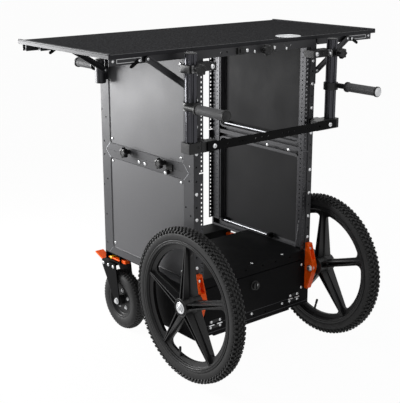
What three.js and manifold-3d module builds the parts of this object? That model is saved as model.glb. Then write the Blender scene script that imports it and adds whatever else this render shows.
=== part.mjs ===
// Camera cart: two stacked rack modules on a locking base box, a fold-out work top,
// four grip handles, two large spoked wheels and two braked swivel casters.
// Millimetres, +Z up. +X runs along the work top, the open rack front faces -Y.
// The origin is on the floor, in the middle of the ground that the cart covers.

import * as THREE from 'three';
import { mergeVertices } from 'three/addons/utils/BufferGeometryUtils.js';
import Module from 'manifold-3d';

const wasm = await Module();
wasm.setup();

// General values
const gap = 0.3; // clearance where one piece rests on another
const overrun = 4; // how far a cut runs past the face it opens
const bite = 0.5; // how far two joined shapes of one piece run into each other

// Rack body
const bodyWidth = 534;
const bodyDepth = 520;
const bodyBottom = 294; // underside of the lower module above the floor
const moduleHeight = 388;
const frameThick = 22; // thickness of a side frame, across the cart
const frameSheet = 2;
const frameLip = 7; // width of the folded edge round the channel, sheet included
const stileWidth = 50;
const railHeight = 25;
const windowRadius = 14;
const panelSheet = 2.5;
const panelGap = 1;
const panelInset = 0.5; // panel face below the frame's face
const ledgeWidth = 9;

// Rack rails to the 19 inch standard
const railFlange = 19.1; // leaves the standard's 451.2 opening between the rails
const rackHoleInset = 6.95; // hole column from the flange's edge, 465.1 from column to column
const rackUnit = 44.45;
const rackHoleFirst = 6.35;
const rackHolePitch = 15.875;
const rackHoleSide = 6.2;
const rackUnits = 8;
const rackGridRise = 1; // first rack unit above the module's underside
const railSheet = 2.5;
const railDepth = 42;
const railSlit = 4.5;
const railTie = 12; // metal left behind the slit
const railEndMargin = 4;

// Top frame and work top
const topRailHeight = 26;
const topRailSheet = 2.5;
const topRailWidth = 22;
const boardThick = 10.7;
const boardInset = 2.7; // board edge behind the front face
const boardBackOut = 9.7; // board edge behind the rear face
const tableLength = 1146;
const seamOffset = 3; // seam outside the body's side
const seamGap = 0.6;
const portRadius = 40;
const portProud = 0.8;
const portX = 182;
const portY = 47;

// Fold-down leaves, braces and catches
const hingeOffset = 9; // hinge axis outside the body's side
const hingeDrop = 25; // hinge axis below the underside of the board
const leafRailDepth = 22;
const leafRailWidth = 22;
const leafRailSheet = 2;
const leafRailStart = 14; // from the hinge axis
const leafRailEnd = 8; // short of the leaf's outer edge
const knuckleRadius = 4;
const knuckleLength = 22;
const knuckleInset = 62;
const braceLength = 179.5;
const braceWidth = 20;
const braceThick = 7;
const braceGroove = 10;
const braceGrooveDepth = 3;
const bracePinDrop = 10.6; // upper pin below the board
const braceInset = 3; // brace behind the front face
const frontPinOut = 15; // lower pin outside the body's side
const frontPinDrop = 108.6; // lower pin below the board
const rearPinOut = 21;
const rearPinDrop = 103.6;
const rearBraceAhead = 71.5; // rear brace ahead of the rear face
const slabGap = 0.7; // between brace, catch and rail, side by side
const catchThick = 3.6;
const catchOut = 27; // catch pivot beyond the brace's upper pin
const catchDrop = 12.6; // catch pivot below the board
const catchLength = 33;
const catchWidth = 10;
const catchAngle = Math.PI / 6; // tip below the level
const blockWidth = 14;
const blockLength = 150;
const blockLead = 30; // block start before the upper pin
const anchorThick = 4.5;
const anchorWidth = 45;
const anchorTop = 15; // below the board
const anchorHeight = 138;
const lugThick = 3.2;
const lugHeight = 25;

// Posts, clamps, bar and handles
const postRadius = 19;
const slotWidth = 7;
const slotDepth = 5;
const frontPostOut = 40; // post axis outside the body's side
const frontPostAhead = 38.5; // post axis ahead of the front face
const frontPostLength = 300;
const rearPostOut = 25;
const rearPostAhead = 42; // post axis ahead of the rear face
const rearPostLength = 78;
const rearPostTop = 70; // below the board
const rearPadWidth = 24;
const rearPadMargin = 9;
const clampWall = 3.2;
const clampSide = 24; // half the width of a clamp block
const clampReach = 95; // from the post axis inwards
const upperClampHeight = 24;
const upperClampDrop = 33; // clamp top below the board
const upperArmDepth = 45;
const lowerClampHeight = 30;
const lowerFootDepth = 30;
const lowerFootReach = 62;
const lowerEarReach = 85;
const barHeight = 28;
const barThick = 5;
const barShort = 44; // bar's left end inside the left post's axis
const barLong = 6; // bar's right end outside the right post's axis
const barHoleRadius = 3.5;
const barGroupRadius = 2.2;
const barHolePitch = 28;
const barHoleFirst = 32;
const barGroupPlace = 145;
const barGroupPitch = 13;
const barEndHole = 205;
const handleDrop = 146.5; // front handle clamp top below the board
const handleClampHeight = 25;
const handleRing = 6;
const handleOffset = 21.5; // grip axis outside the post axis
const armRadius = 9;
const frontArm = 54; // post axis to grip
const gripLength = 137;
const gripRadius = 15;
const gripCollar = 17.5;
const gripCollarLength = 7;
const rearArm = 13; // post surface to grip
const rearGripLength = 112;
const rearHandleDrop = 93; // rear grip axis below the board
const rearFlange = 14;
const rearFlangeThick = 4;

// Star knobs
const knobRadius = 15.4;
const knobWave = 2.6;
const knobLobes = 7;
const knobThick = 17;
const knobShaftRadius = 5;
const knobShaft = 14;
const topKnobX = 20;
const topKnobDrop = 17.5; // below the board
const sideKnobBack = 151; // front knob behind the front face
const sideKnobAhead = 168; // rear knob ahead of the rear face

// Tie rods along the right wall
const rodRadius = 3.6;
const rodFront = 177;
const rodAhead = 71; // rod's end ahead of the rear face
const rodInset = 7; // rod axis inside the frame
const rodRise = 12; // rod axis above the frame's bottom rail
const clipWidth = 12;
const clipSide = 6;
const clipReach = 13;

// Base box
const baseBottom = 113;
const baseDepth = 310;
const baseSheet = 2.5;
const lidRise = 26; // lid above the module's underside
const lidGap = 0.3;
const lidSkirt = 34;
const seatWidth = 8; // ledge under the lid's skirt
const doorSide = 20.5; // door's edge inside the frame's inner face
const doorBottom = 149;
const doorTop = 284;
const doorGap = 0.8;
const doorSheet = 3.5;
const doorProud = 2;
const dialRadius = 15;
const dialLength = 15;
const dialHeight = 245;
const traySide = 89; // tray's edge inside the body's side
const trayFront = 6;
const trayHeight = 10;

// Rear deck that carries the casters
const deckDepth = 90;
const deckHeight = 32;
const deckSheet = 3;
const deckRailWidth = 16;
const deckRailHeight = 4;
const casterPlate = 92;

// Large wheels
const wheelRadius = 260;
const wheelOut = 43; // wheel's middle outside the body's side
const wheelAhead = 26;
const tyreHalfWidth = 22;
const beadRadius = 214;
const rimHalfWidth = 18;
const rimFlange = 219;
const rimWall = 7;
const rimFlangeThick = 2.6;
const spokeCount = 5;
const spokeHubWidth = 24;
const spokeRimWidth = 34;
const spokeHubThick = 26;
const spokeRimThick = 15;
const hubRadius = 31;
const hubInner = 38;
const hubOuter = 36;
const axleRadius = 8;
const axleNutRadius = 12;
const axleNut = 5;

// Orange axle brackets
const bracketTop = 347;
const bracketBottom = 174;
const bracketEdge = 14.5;
const bracketBulge = 40;
const bracketWaist = 10; // flat height of the bulge
const pocketWidth = 10;
const pocketDepth = 5;
const pocketTop = 12; // below the bracket's top
const pocketHeight = 44;

// Casters
const casterInboard = 34; // swivel axis inside the body's side
const casterInset = 20; // swivel axis ahead of the rear face
const casterTrail = 45;
const casterRadius = 112.5;
const casterHalfWidth = 26.5;
const casterRimRadius = 66;
const casterHub = 30.5;
const casterHubRadius = 20;
const casterBoss = 7; // half thickness of the wheel's disc
const casterAxle = 6;
const forkGap = 0.6;
const forkSheet = 4;
const forkTopFront = 41; // leg ahead of the swivel axis, at the crown
const forkTopBack = 46;
const crownThick = 5;
const crownDrop = 8; // crown below the deck
const raceRadius = 30;
const forkFoot = 17;
const pedalReach = 116; // tip behind the swivel axis
const pedalStart = 39; // pivot behind the swivel axis
const pedalDrop = 24; // pedal pivot below the crown's top
const pedalWidth = 34;
const pedalThick = 6;
const pedalRise = 28;
const pedalPin = 4;
const shoeLength = 29;
const shoeWidth = 24;

// Facets
const roundFacets = 24;
const tyreFacets = 40;
const casterFacets = 28;
const smallFacets = 12;
const cornerFacets = 3;

// Places worked out from the sizes
const half = bodyWidth / 2;
const inner = half - frameThick;
const upperBottom = bodyBottom + moduleHeight + gap;
const bodyTop = upperBottom + moduleHeight;
const boardUnder = bodyTop + gap;
const tableTop = boardUnder + boardThick;
const seam = half + seamOffset;
const tableHalf = tableLength / 2;
const boardBack = bodyDepth + boardBackOut;
const hingeX = half + hingeOffset;
const hingeZ = boardUnder - hingeDrop;
const frontPostX = half + frontPostOut;
const frontPostY = -frontPostAhead;
const frontPostBottom = bodyTop - frontPostLength;
const rearPostX = half + rearPostOut;
const rearPostY = bodyDepth - rearPostAhead;
const lidTop = bodyBottom + lidRise;
const lidHalf = inner - frameSheet - lidGap;
const doorHalf = inner - doorSide;
const trayHalf = half - traySide;
const wheelX = half + wheelOut;
const casterX = half - casterInboard;
const rodBack = bodyDepth - rodAhead;
const deckUnder = bodyBottom - gap - deckHeight;
const casterY = bodyDepth - casterInset;
const gripEndFront = frontPostY - frontArm - gripLength;
const gripEndRear = rearPostY + postRadius + rearArm + rearGripLength;
const frontReach = Math.max(wheelRadius + wheelAhead, -gripEndFront);
const rearReach = Math.max(gripEndRear, casterY + pedalReach) - bodyDepth;
const bodyFront = (frontReach - bodyDepth - rearReach) / 2;

// Solids
function solid(geometry) {
  const bare = geometry.index ? geometry.toNonIndexed() : geometry;
  bare.deleteAttribute('normal');
  bare.deleteAttribute('uv');
  const merged = mergeVertices(bare);
  const corners = merged.index.array;
  const kept = [];
  for (let i = 0; i < corners.length; i += 3) {
    const [a, b, c] = [corners[i], corners[i + 1], corners[i + 2]];
    if (a !== b && b !== c && c !== a) kept.push(a, b, c);
  }
  const mesh = new wasm.Mesh({
    numProp: 3,
    vertProperties: new Float32Array(merged.attributes.position.array),
    triVerts: new Uint32Array(kept),
  });
  return new wasm.Manifold(mesh);
}

function geometryOf(shape) {
  const { vertProperties, triVerts } = shape.getMesh();
  const geometry = new THREE.BufferGeometry();
  geometry.setAttribute('position', new THREE.BufferAttribute(vertProperties, 3));
  geometry.setIndex(new THREE.BufferAttribute(triVerts, 1));
  geometry.computeVertexNormals();
  return geometry;
}

// The same solid on the other side of the plane x = 0 (or y = middle)
function mirrored(shape, axis = 0, middle = 0) {
  const { vertProperties, triVerts } = shape.getMesh();
  const points = new Float32Array(vertProperties);
  for (let i = axis; i < points.length; i += 3) points[i] = 2 * middle - points[i];
  const corners = new Uint32Array(triVerts);
  for (let i = 0; i < corners.length; i += 3) {
    [corners[i], corners[i + 1]] = [corners[i + 1], corners[i]];
  }
  return new wasm.Manifold(new wasm.Mesh({ numProp: 3, vertProperties: points, triVerts: corners }));
}

function box(x0, x1, y0, y1, z0, z1) {
  const geometry = new THREE.BoxGeometry(x1 - x0, y1 - y0, z1 - z0);
  geometry.translate((x0 + x1) / 2, (y0 + y1) / 2, (z0 + z1) / 2);
  return solid(geometry);
}

const bases = {
  x: [new THREE.Vector3(0, 1, 0), new THREE.Vector3(0, 0, 1), new THREE.Vector3(1, 0, 0)],
  y: [new THREE.Vector3(0, 0, 1), new THREE.Vector3(1, 0, 0), new THREE.Vector3(0, 1, 0)],
  z: [new THREE.Vector3(1, 0, 0), new THREE.Vector3(0, 1, 0), new THREE.Vector3(0, 0, 1)],
};

// A flat outline pushed along an axis. The outline's two coordinates are
// Y and Z for axis x, Z and X for axis y, X and Y for axis z.
function prism(axis, outline, from, to) {
  const shape = new THREE.Shape(outline.map(([u, v]) => new THREE.Vector2(u, v)));
  const geometry = new THREE.ExtrudeGeometry(shape, { depth: to - from, bevelEnabled: false });
  geometry.translate(0, 0, from);
  geometry.applyMatrix4(new THREE.Matrix4().makeBasis(...bases[axis]));
  return solid(geometry);
}

function circle(u, v, radius, facets) {
  const points = [];
  for (let i = 0; i < facets; i += 1) {
    const turn = (2 * Math.PI * i) / facets;
    points.push([u + radius * Math.cos(turn), v + radius * Math.sin(turn)]);
  }
  return points;
}

function rod(axis, u, v, radius, from, to, facets = smallFacets) {
  return prism(axis, circle(u, v, radius, facets), from, to);
}

// A rectangle with round corners, as an outline
function rounded(u0, u1, v0, v1, radius, facets = cornerFacets) {
  const centres = [
    [u1 - radius, v1 - radius],
    [u0 + radius, v1 - radius],
    [u0 + radius, v0 + radius],
    [u1 - radius, v0 + radius],
  ];
  const points = [];
  centres.forEach(([u, v], corner) => {
    for (let i = 0; i <= facets; i += 1) {
      const turn = (Math.PI / 2) * (corner + i / facets);
      points.push([u + radius * Math.cos(turn), v + radius * Math.sin(turn)]);
    }
  });
  return points;
}

// A strip with round ends between two points, as an outline
function capsule(u0, v0, u1, v1, radius, facets = 5) {
  const along = Math.atan2(v1 - v0, u1 - u0);
  const points = [];
  for (let i = 0; i <= facets; i += 1) {
    const turn = along - Math.PI / 2 + (Math.PI * i) / facets;
    points.push([u1 + radius * Math.cos(turn), v1 + radius * Math.sin(turn)]);
  }
  for (let i = 0; i <= facets; i += 1) {
    const turn = along + Math.PI / 2 + (Math.PI * i) / facets;
    points.push([u0 + radius * Math.cos(turn), v0 + radius * Math.sin(turn)]);
  }
  return points;
}

// A turned piece. The profile is [radius, place along the axis]; centre is the
// axis's place in the two other directions.
function turned(axis, profile, u, v, facets) {
  const geometry = new THREE.LatheGeometry(
    profile.map(([radius, place]) => new THREE.Vector2(radius, place)),
    facets,
  );
  geometry.rotateX(Math.PI / 2);
  geometry.translate(u, v, 0);
  geometry.applyMatrix4(new THREE.Matrix4().makeBasis(...bases[axis]));
  return solid(geometry);
}

// Finishes
const finish = (color, roughness, metalness) => ({ color, roughness, metalness });
const finishes = {
  powder: finish(0x242424, 0.55, 0.3),
  panel: finish(0x2b2b2b, 0.5, 0.3),
  anodised: finish(0x2e2e30, 0.35, 0.8),
  steel: finish(0xc8c9ca, 0.3, 1),
  carpet: finish(0x202022, 0.95, 0),
  rubber: finish(0x1d1d1d, 0.85, 0),
  plastic: finish(0x303032, 0.6, 0),
  orange: finish(0xe8501a, 0.35, 0.6),
};

const cart = new THREE.Group();
cart.position.y = bodyFront;

function piece(name, shape, look) {
  const mesh = new THREE.Mesh(geometryOf(shape), new THREE.MeshStandardMaterial(finishes[look]));
  mesh.name = name;
  cart.add(mesh);
}

// Adds a right-hand piece and its mirror image on the left
function pair(name, shape, look) {
  piece(`${name}_right`, shape, look);
  piece(`${name}_left`, mirrored(shape), look);
}

// Side frames: a folded channel round a window, with a ledge for the panel
function windowOutline(bottom, grow) {
  return rounded(
    stileWidth - grow,
    bodyDepth - stileWidth + grow,
    bottom + railHeight - grow,
    bottom + moduleHeight - railHeight + grow,
    windowRadius + grow,
  );
}

function sideFrame(bottom) {
  const top = bottom + moduleHeight;
  const lip = frameLip;
  const pocket = box(
    inner + frameSheet, half - frameSheet,
    frameSheet, bodyDepth - frameSheet,
    bottom + frameSheet, top - frameSheet,
  ).subtract(prism('x', windowOutline(bottom, frameSheet), inner, half));
  const mouth = box(
    inner - overrun, inner + frameSheet + bite,
    lip, bodyDepth - lip,
    bottom + lip, top - lip,
  ).subtract(prism('x', windowOutline(bottom, lip), inner - 2 * overrun, half));
  const ledgeFace = half - panelInset - panelSheet - gap;
  const ledge = prism('x', windowOutline(bottom, bite), ledgeFace - frameSheet, ledgeFace)
    .subtract(prism('x', windowOutline(bottom, -ledgeWidth), inner, half));
  return box(inner, half, 0, bodyDepth, bottom, top)
    .subtract(prism('x', windowOutline(bottom, 0), inner - overrun, half + overrun))
    .subtract(pocket)
    .subtract(mouth)
    .add(ledge);
}

function sidePanel(bottom) {
  const face = half - panelInset;
  return prism('x', windowOutline(bottom, -panelGap), face - panelSheet, face);
}

// Anchor plate and lug of the front brace, and the fixed hinge knuckles
function braceLug(pinX, pinZ, y, from) {
  const tab = prism('y', circle(pinZ, pinX, lugHeight / 2, smallFacets), y, y + lugThick);
  const root = box(from, pinX, y, y + lugThick, pinZ - lugHeight / 2, pinZ + lugHeight / 2);
  return tab.add(root);
}

const frontPinX = half + frontPinOut;
const frontPinZ = boardUnder - frontPinDrop;
const lugStart = braceInset + braceThick + gap;

function hingeKnuckle(y) {
  const barrel = rod('y', hingeZ, hingeX, knuckleRadius, y, y + knuckleLength, smallFacets);
  const arm = box(
    half - bite, hingeX,
    y, y + knuckleLength,
    hingeZ - knuckleRadius / 2, hingeZ + knuckleRadius / 2,
  );
  return barrel.add(arm);
}

const knuckles = [knuckleInset, bodyDepth - knuckleInset - knuckleLength];

function upperFrame() {
  const plateTop = boardUnder - anchorTop;
  const plate = box(
    half - bite, half + anchorThick,
    0, anchorWidth,
    plateTop - anchorHeight, plateTop,
  );
  let shape = sideFrame(upperBottom).add(plate);
  shape = shape.add(braceLug(frontPinX, frontPinZ, lugStart, half + bite));
  knuckles.forEach((y) => {
    shape = shape.add(hingeKnuckle(y));
  });
  return shape;
}

pair('side_frame_lower', sideFrame(bodyBottom), 'powder');
pair('side_frame_upper', upperFrame(), 'powder');
pair('side_panel_lower', sidePanel(bodyBottom), 'panel');
pair('side_panel_upper', sidePanel(upperBottom), 'panel');

// Rack rails: an angle with the standard hole pattern and a slit at the seam
function rackRail() {
  const face = frameSheet + gap;
  const outer = inner - gap;
  const bottom = lidTop + railEndMargin;
  const top = bodyTop - topRailHeight - gap;
  const edge = outer - railFlange;
  let shape = box(edge, outer, face, face + railSheet, bottom, top)
    .add(box(outer - railSheet, outer, face, face + railDepth, bottom, top));
  const seamZ = upperBottom - gap / 2;
  shape = shape.subtract(box(
    edge - overrun, outer + overrun,
    face - overrun, face + railDepth - railTie,
    seamZ - railSlit / 2, seamZ + railSlit / 2,
  ));
  const side = rackHoleSide / 2;
  const column = edge + rackHoleInset;
  [bodyBottom, upperBottom].forEach((start) => {
    for (let unit = 0; unit < rackUnits; unit += 1) {
      for (let hole = 0; hole < 3; hole += 1) {
        const z = start + rackGridRise + unit * rackUnit + rackHoleFirst + hole * rackHolePitch;
        if (z - side > bottom + railEndMargin && z + side < top - railEndMargin) {
          shape = shape.subtract(box(
            column - side, column + side,
            face - overrun, face + railSheet + bite,
            z - side, z + side,
          ));
        }
      }
    }
  });
  return shape;
}

const frontRail = rackRail();
pair('rack_rail_front', frontRail, 'anodised');
pair('rack_rail_rear', mirrored(frontRail, 1, bodyDepth / 2), 'anodised');

// Top frame: front and rear rails joined by side strips
function topFrame() {
  const wide = inner - gap;
  const under = bodyTop - topRailSheet;
  const strip = box(-wide, wide, 0, bodyDepth, under, bodyTop).subtract(box(
    topRailWidth - wide, wide - topRailWidth,
    topRailWidth, bodyDepth - topRailWidth,
    under - overrun, bodyTop + overrun,
  ));
  const face = box(-wide, wide, 0, topRailSheet, bodyTop - topRailHeight, bodyTop);
  return strip.add(face).add(mirrored(face, 1, bodyDepth / 2));
}

piece('top_frame', topFrame(), 'powder');

// Work top: the fixed centre board with its round cable port
function centreBoard() {
  const wide = seam - seamGap / 2;
  const port = rod('z', portX, portY, portRadius, tableTop - bite, tableTop + portProud, roundFacets);
  return box(-wide, wide, boardInset, boardBack, boardUnder, tableTop).add(port);
}

piece('table_centre', centreBoard(), 'carpet');

// Brace places, for the front and the rear brace of a leaf
const pinLine = boardUnder - bracePinDrop;

function brace(out, drop, y) {
  const lowX = half + out;
  const lowZ = boardUnder - drop;
  const rise = pinLine - lowZ;
  const run = Math.sqrt(braceLength ** 2 - rise ** 2);
  return { lowX, lowZ, highX: lowX + run, y };
}

const frontBrace = brace(frontPinOut, frontPinDrop, braceInset);
const rearBrace = brace(rearPinOut, rearPinDrop, bodyDepth - rearBraceAhead);
const railFront = braceInset + braceThick + catchThick + 2 * slabGap;

// Leaves: board, two channel rails, a block for the rear brace and hinge straps
function leaf() {
  const start = seam + seamGap / 2;
  const low = boardUnder - leafRailDepth;
  let shape = box(start, tableHalf, boardInset, boardBack, boardUnder, tableTop);
  const railY = [railFront, boardBack - railFront - leafRailWidth + boardInset];
  railY.forEach((y) => {
    const bar = box(
      hingeX + leafRailStart, tableHalf - leafRailEnd,
      y, y + leafRailWidth,
      low, boardUnder + bite,
    );
    shape = shape.add(bar.subtract(box(
      hingeX, tableHalf,
      y + leafRailSheet, y + leafRailWidth - leafRailSheet,
      low - overrun, boardUnder,
    )));
  });
  const blockX = rearBrace.highX - blockLead;
  const blockY = rearBrace.y + braceThick + catchThick + 2 * slabGap;
  shape = shape.add(box(
    blockX, blockX + blockLength - blockLead,
    blockY, blockY + blockWidth,
    boardUnder - 2 * bracePinDrop, boardUnder + bite,
  ));
  knuckles.forEach((y) => {
    [y - gap - knuckleLength / 2, y + knuckleLength + gap].forEach((side) => {
      const barrel = rod('y', hingeZ, hingeX, knuckleRadius, side, side + knuckleLength / 2);
      const strap = box(
        hingeX, hingeX + knuckleRadius,
        side, side + knuckleLength / 2,
        hingeZ, boardUnder + bite,
      );
      shape = shape.add(barrel).add(strap);
    });
  });
  return shape;
}

pair('table_leaf', leaf(), 'carpet');

// Braces that prop the leaves, and the catches that lock them
function braceBar(place) {
  const outline = capsule(place.lowZ, place.lowX, pinLine, place.highX, braceWidth / 2);
  const groove = capsule(place.lowZ, place.lowX, pinLine, place.highX, braceGroove / 2);
  return prism('y', outline, place.y, place.y + braceThick)
    .subtract(prism('y', groove, place.y - overrun, place.y + braceGrooveDepth));
}

function catchLever(place) {
  const x = place.highX + catchOut;
  const z = boardUnder - catchDrop;
  const y = place.y + braceThick + slabGap;
  const tipX = x + catchLength * Math.cos(catchAngle);
  const tipZ = z - catchLength * Math.sin(catchAngle);
  return prism('y', capsule(z, x, tipZ, tipX, catchWidth / 2), y, y + catchThick);
}

pair('brace_front', braceBar(frontBrace), 'powder');
pair('brace_rear', braceBar(rearBrace), 'powder');
pair('catch_front', catchLever(frontBrace), 'powder');
pair('catch_rear', catchLever(rearBrace), 'powder');

// Slotted round posts
function postOutline(x, y) {
  const points = [];
  const edge = Math.asin(slotWidth / 2 / postRadius);
  const floor = postRadius - slotDepth;
  const arcFacets = 4;
  for (let quarter = 0; quarter < 4; quarter += 1) {
    const middle = (Math.PI / 2) * quarter + Math.PI / 4;
    const across = [-Math.sin(middle), Math.cos(middle)];
    const out = [Math.cos(middle), Math.sin(middle)];
    [-1, 1].forEach((side) => {
      points.push([
        x + out[0] * floor + (side * across[0] * slotWidth) / 2,
        y + out[1] * floor + (side * across[1] * slotWidth) / 2,
      ]);
    });
    const sweep = Math.PI / 2 - 2 * edge;
    for (let i = 0; i <= arcFacets; i += 1) {
      const turn = middle + edge + (sweep * i) / arcFacets;
      points.push([x + postRadius * Math.cos(turn), y + postRadius * Math.sin(turn)]);
    }
  }
  return points;
}

pair('post_front', prism('z', postOutline(frontPostX, frontPostY), frontPostBottom, bodyTop), 'anodised');

function rearPost() {
  const top = boardUnder - rearPostTop;
  const bottom = top - rearPostLength;
  const pad = box(
    half + gap, rearPostX - postRadius / 2,
    rearPostY - rearPadWidth / 2, rearPostY + rearPadWidth / 2,
    bottom + rearPadMargin, top - rearPadMargin,
  );
  const lugY = rearBrace.y + braceThick + gap;
  const lug = braceLug(rearBrace.lowX, rearBrace.lowZ, lugY, rearBrace.lowX - lugHeight / 2);
  const web = box(
    rearBrace.lowX - lugHeight / 2, rearBrace.lowX + lugThick,
    lugY, rearPostY,
    rearBrace.lowZ - lugHeight / 2, rearBrace.lowZ + lugHeight / 2,
  );
  return prism('z', postOutline(rearPostX, rearPostY), bottom, top).add(pad).add(lug).add(web);
}

pair('post_rear', rearPost(), 'anodised');

// Clamps that hold the front posts to the body
function postBore(bottom, top) {
  const bore = postRadius + gap;
  return rod('z', frontPostX, frontPostY, bore, bottom - overrun, top + overrun, roundFacets);
}

const barFace = frontPostY - clampSide + clampWall / 2;

function upperClamp() {
  const top = boardUnder - upperClampDrop;
  const bottom = top - upperClampHeight;
  const block = prism('z', rounded(
    frontPostX - clampSide, frontPostX + clampSide,
    frontPostY - clampSide, frontPostY + clampSide,
    clampWall,
  ), bottom, top);
  const arm = box(frontPostX - clampReach, frontPostX, -upperArmDepth, -gap, bottom, top);
  return block.add(arm).subtract(postBore(bottom, top));
}

function lowerClamp() {
  const top = frontPostBottom + lowerClampHeight;
  const bottom = frontPostBottom - clampWall;
  const block = prism('z', rounded(
    frontPostX - clampSide, frontPostX + clampSide,
    barFace, frontPostY + clampSide,
    clampWall,
  ), bottom, top);
  const ear = box(
    frontPostX - lowerEarReach, frontPostX - clampSide + bite,
    barFace, barFace + lowerFootDepth,
    bottom, top,
  );
  const foot = box(
    frontPostX - lowerFootReach, frontPostX - clampSide + bite,
    barFace + bite, -gap,
    bottom, top,
  );
  return block.add(ear).add(foot).subtract(postBore(frontPostBottom - gap + overrun, top));
}

pair('upper_clamp', upperClamp(), 'plastic');
pair('lower_clamp', lowerClamp(), 'plastic');

// Perforated accessory bar between the lower clamps
function accessoryBar() {
  const middle = frontPostBottom - clampWall + (lowerClampHeight + clampWall) / 2;
  const back = barFace - gap;
  const front = back - barThick;
  const from = barShort - frontPostX;
  const to = frontPostX + barLong;
  const centre = (from + to) / 2;
  let shape = prism('y', rounded(
    middle - barHeight / 2, middle + barHeight / 2,
    from, to,
    clampWall,
  ), front, back);
  const drill = (x, radius) => {
    shape = shape.subtract(rod('y', middle, centre + x, radius, front - overrun, back + overrun, 8));
  };
  [-1, 1].forEach((side) => {
    for (let i = 0; i < 3; i += 1) {
      drill(side * (barHoleFirst + i * barHolePitch), barHoleRadius);
      drill(side * (barGroupPlace + (i - 1) * barGroupPitch), barGroupRadius);
    }
    drill(side * barEndHole, barHoleRadius);
  });
  return shape;
}

piece('accessory_bar', accessoryBar(), 'powder');

// Handles: front ones swing on their posts, rear ones are bolted to theirs
function gripProfile(start, length, dir) {
  const at = (place) => start + dir * place;
  return [
    [0, at(-bite)],
    [gripCollar, at(-bite)],
    [gripCollar, at(gripCollarLength)],
    [gripRadius, at(gripCollarLength + bite)],
    [gripRadius, at(length - bite)],
    [gripRadius - bite, at(length)],
    [0, at(length)],
  ];
}

function handleProfile(start, length, dir) {
  const profile = gripProfile(start, length, dir);
  return dir > 0 ? profile : profile.reverse();
}

function frontHandle() {
  const top = boardUnder - handleDrop;
  const bottom = top - handleClampHeight;
  const axisX = frontPostX + handleOffset;
  const axisZ = (top + bottom) / 2;
  const start = frontPostY - frontArm;
  const ring = rod('z', frontPostX, frontPostY, postRadius + handleRing, bottom, top, roundFacets)
    .subtract(postBore(bottom, top));
  const arm = rod('y', axisZ, axisX, armRadius, start - bite, frontPostY);
  const grip = turned('y', handleProfile(start, gripLength, -1), axisZ, axisX, smallFacets + 4);
  const bored = arm.subtract(postBore(bottom, top));
  return ring.add(bored).add(grip);
}

function rearHandle() {
  const axisZ = boardUnder - rearHandleDrop;
  const face = rearPostY + postRadius + gap;
  const start = rearPostY + postRadius + rearArm;
  const flange = rod('y', axisZ, rearPostX, rearFlange, face, face + rearFlangeThick);
  const arm = rod('y', axisZ, rearPostX, armRadius, face, start);
  const grip = turned('y', handleProfile(start, rearGripLength, 1), axisZ, rearPostX, smallFacets + 4);
  return flange.add(arm).add(grip);
}

pair('handle_front', frontHandle(), 'rubber');
pair('handle_rear', rearHandle(), 'rubber');

// Star knobs: head and threaded shaft
function starKnob(axis, u, v, from, dir) {
  const outline = [];
  const steps = knobLobes * 5;
  for (let i = 0; i < steps; i += 1) {
    const turn = (2 * Math.PI * i) / steps;
    const radius = knobRadius + knobWave * Math.cos(knobLobes * turn);
    outline.push([u + radius * Math.cos(turn), v + radius * Math.sin(turn)]);
  }
  const neck = from + dir * knobShaft;
  const tip = neck + dir * knobThick;
  const head = prism(axis, outline, Math.min(neck, tip), Math.max(neck, tip));
  const inside = neck + dir * bite;
  return head.add(rod(axis, u, v, knobShaftRadius, Math.min(from, inside), Math.max(from, inside), 8));
}

const clampKnobZ = boardUnder - upperClampDrop - upperClampHeight / 2;
pair('clamp_knob', starKnob('y', clampKnobZ, frontPostX, frontPostY - clampSide - gap, -1), 'plastic');
piece('top_knob', starKnob('y', boardUnder - topKnobDrop, topKnobX, -gap, -1), 'plastic');
const sideKnobZ = upperBottom + railHeight / 2;
piece('side_knob_front', starKnob('x', sideKnobBack, sideKnobZ, -half - gap, -1), 'plastic');
piece('side_knob_rear', starKnob('x', bodyDepth - sideKnobAhead, sideKnobZ, -half - gap, -1), 'plastic');

// Tie rods: along the right wall, just above each bottom rail
function tieRod(bottom) {
  const sill = bottom + railHeight + gap;
  const x = inner - rodInset;
  const z = bottom + railHeight + rodRise;
  let shape = rod('y', z, x, rodRadius, rodFront, rodBack, smallFacets);
  [rodFront, rodBack - clipWidth].forEach((y) => {
    shape = shape
      .add(box(x - clipSide, inner + gap + bite, y, y + clipWidth, z - clipSide, z + clipSide))
      .add(box(inner + gap, inner + clipReach, y, y + clipWidth, sill, z + clipSide));
  });
  return shape;
}

piece('tie_rod_lower', tieRod(bodyBottom), 'steel');
piece('tie_rod_upper', tieRod(upperBottom), 'steel');

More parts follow.
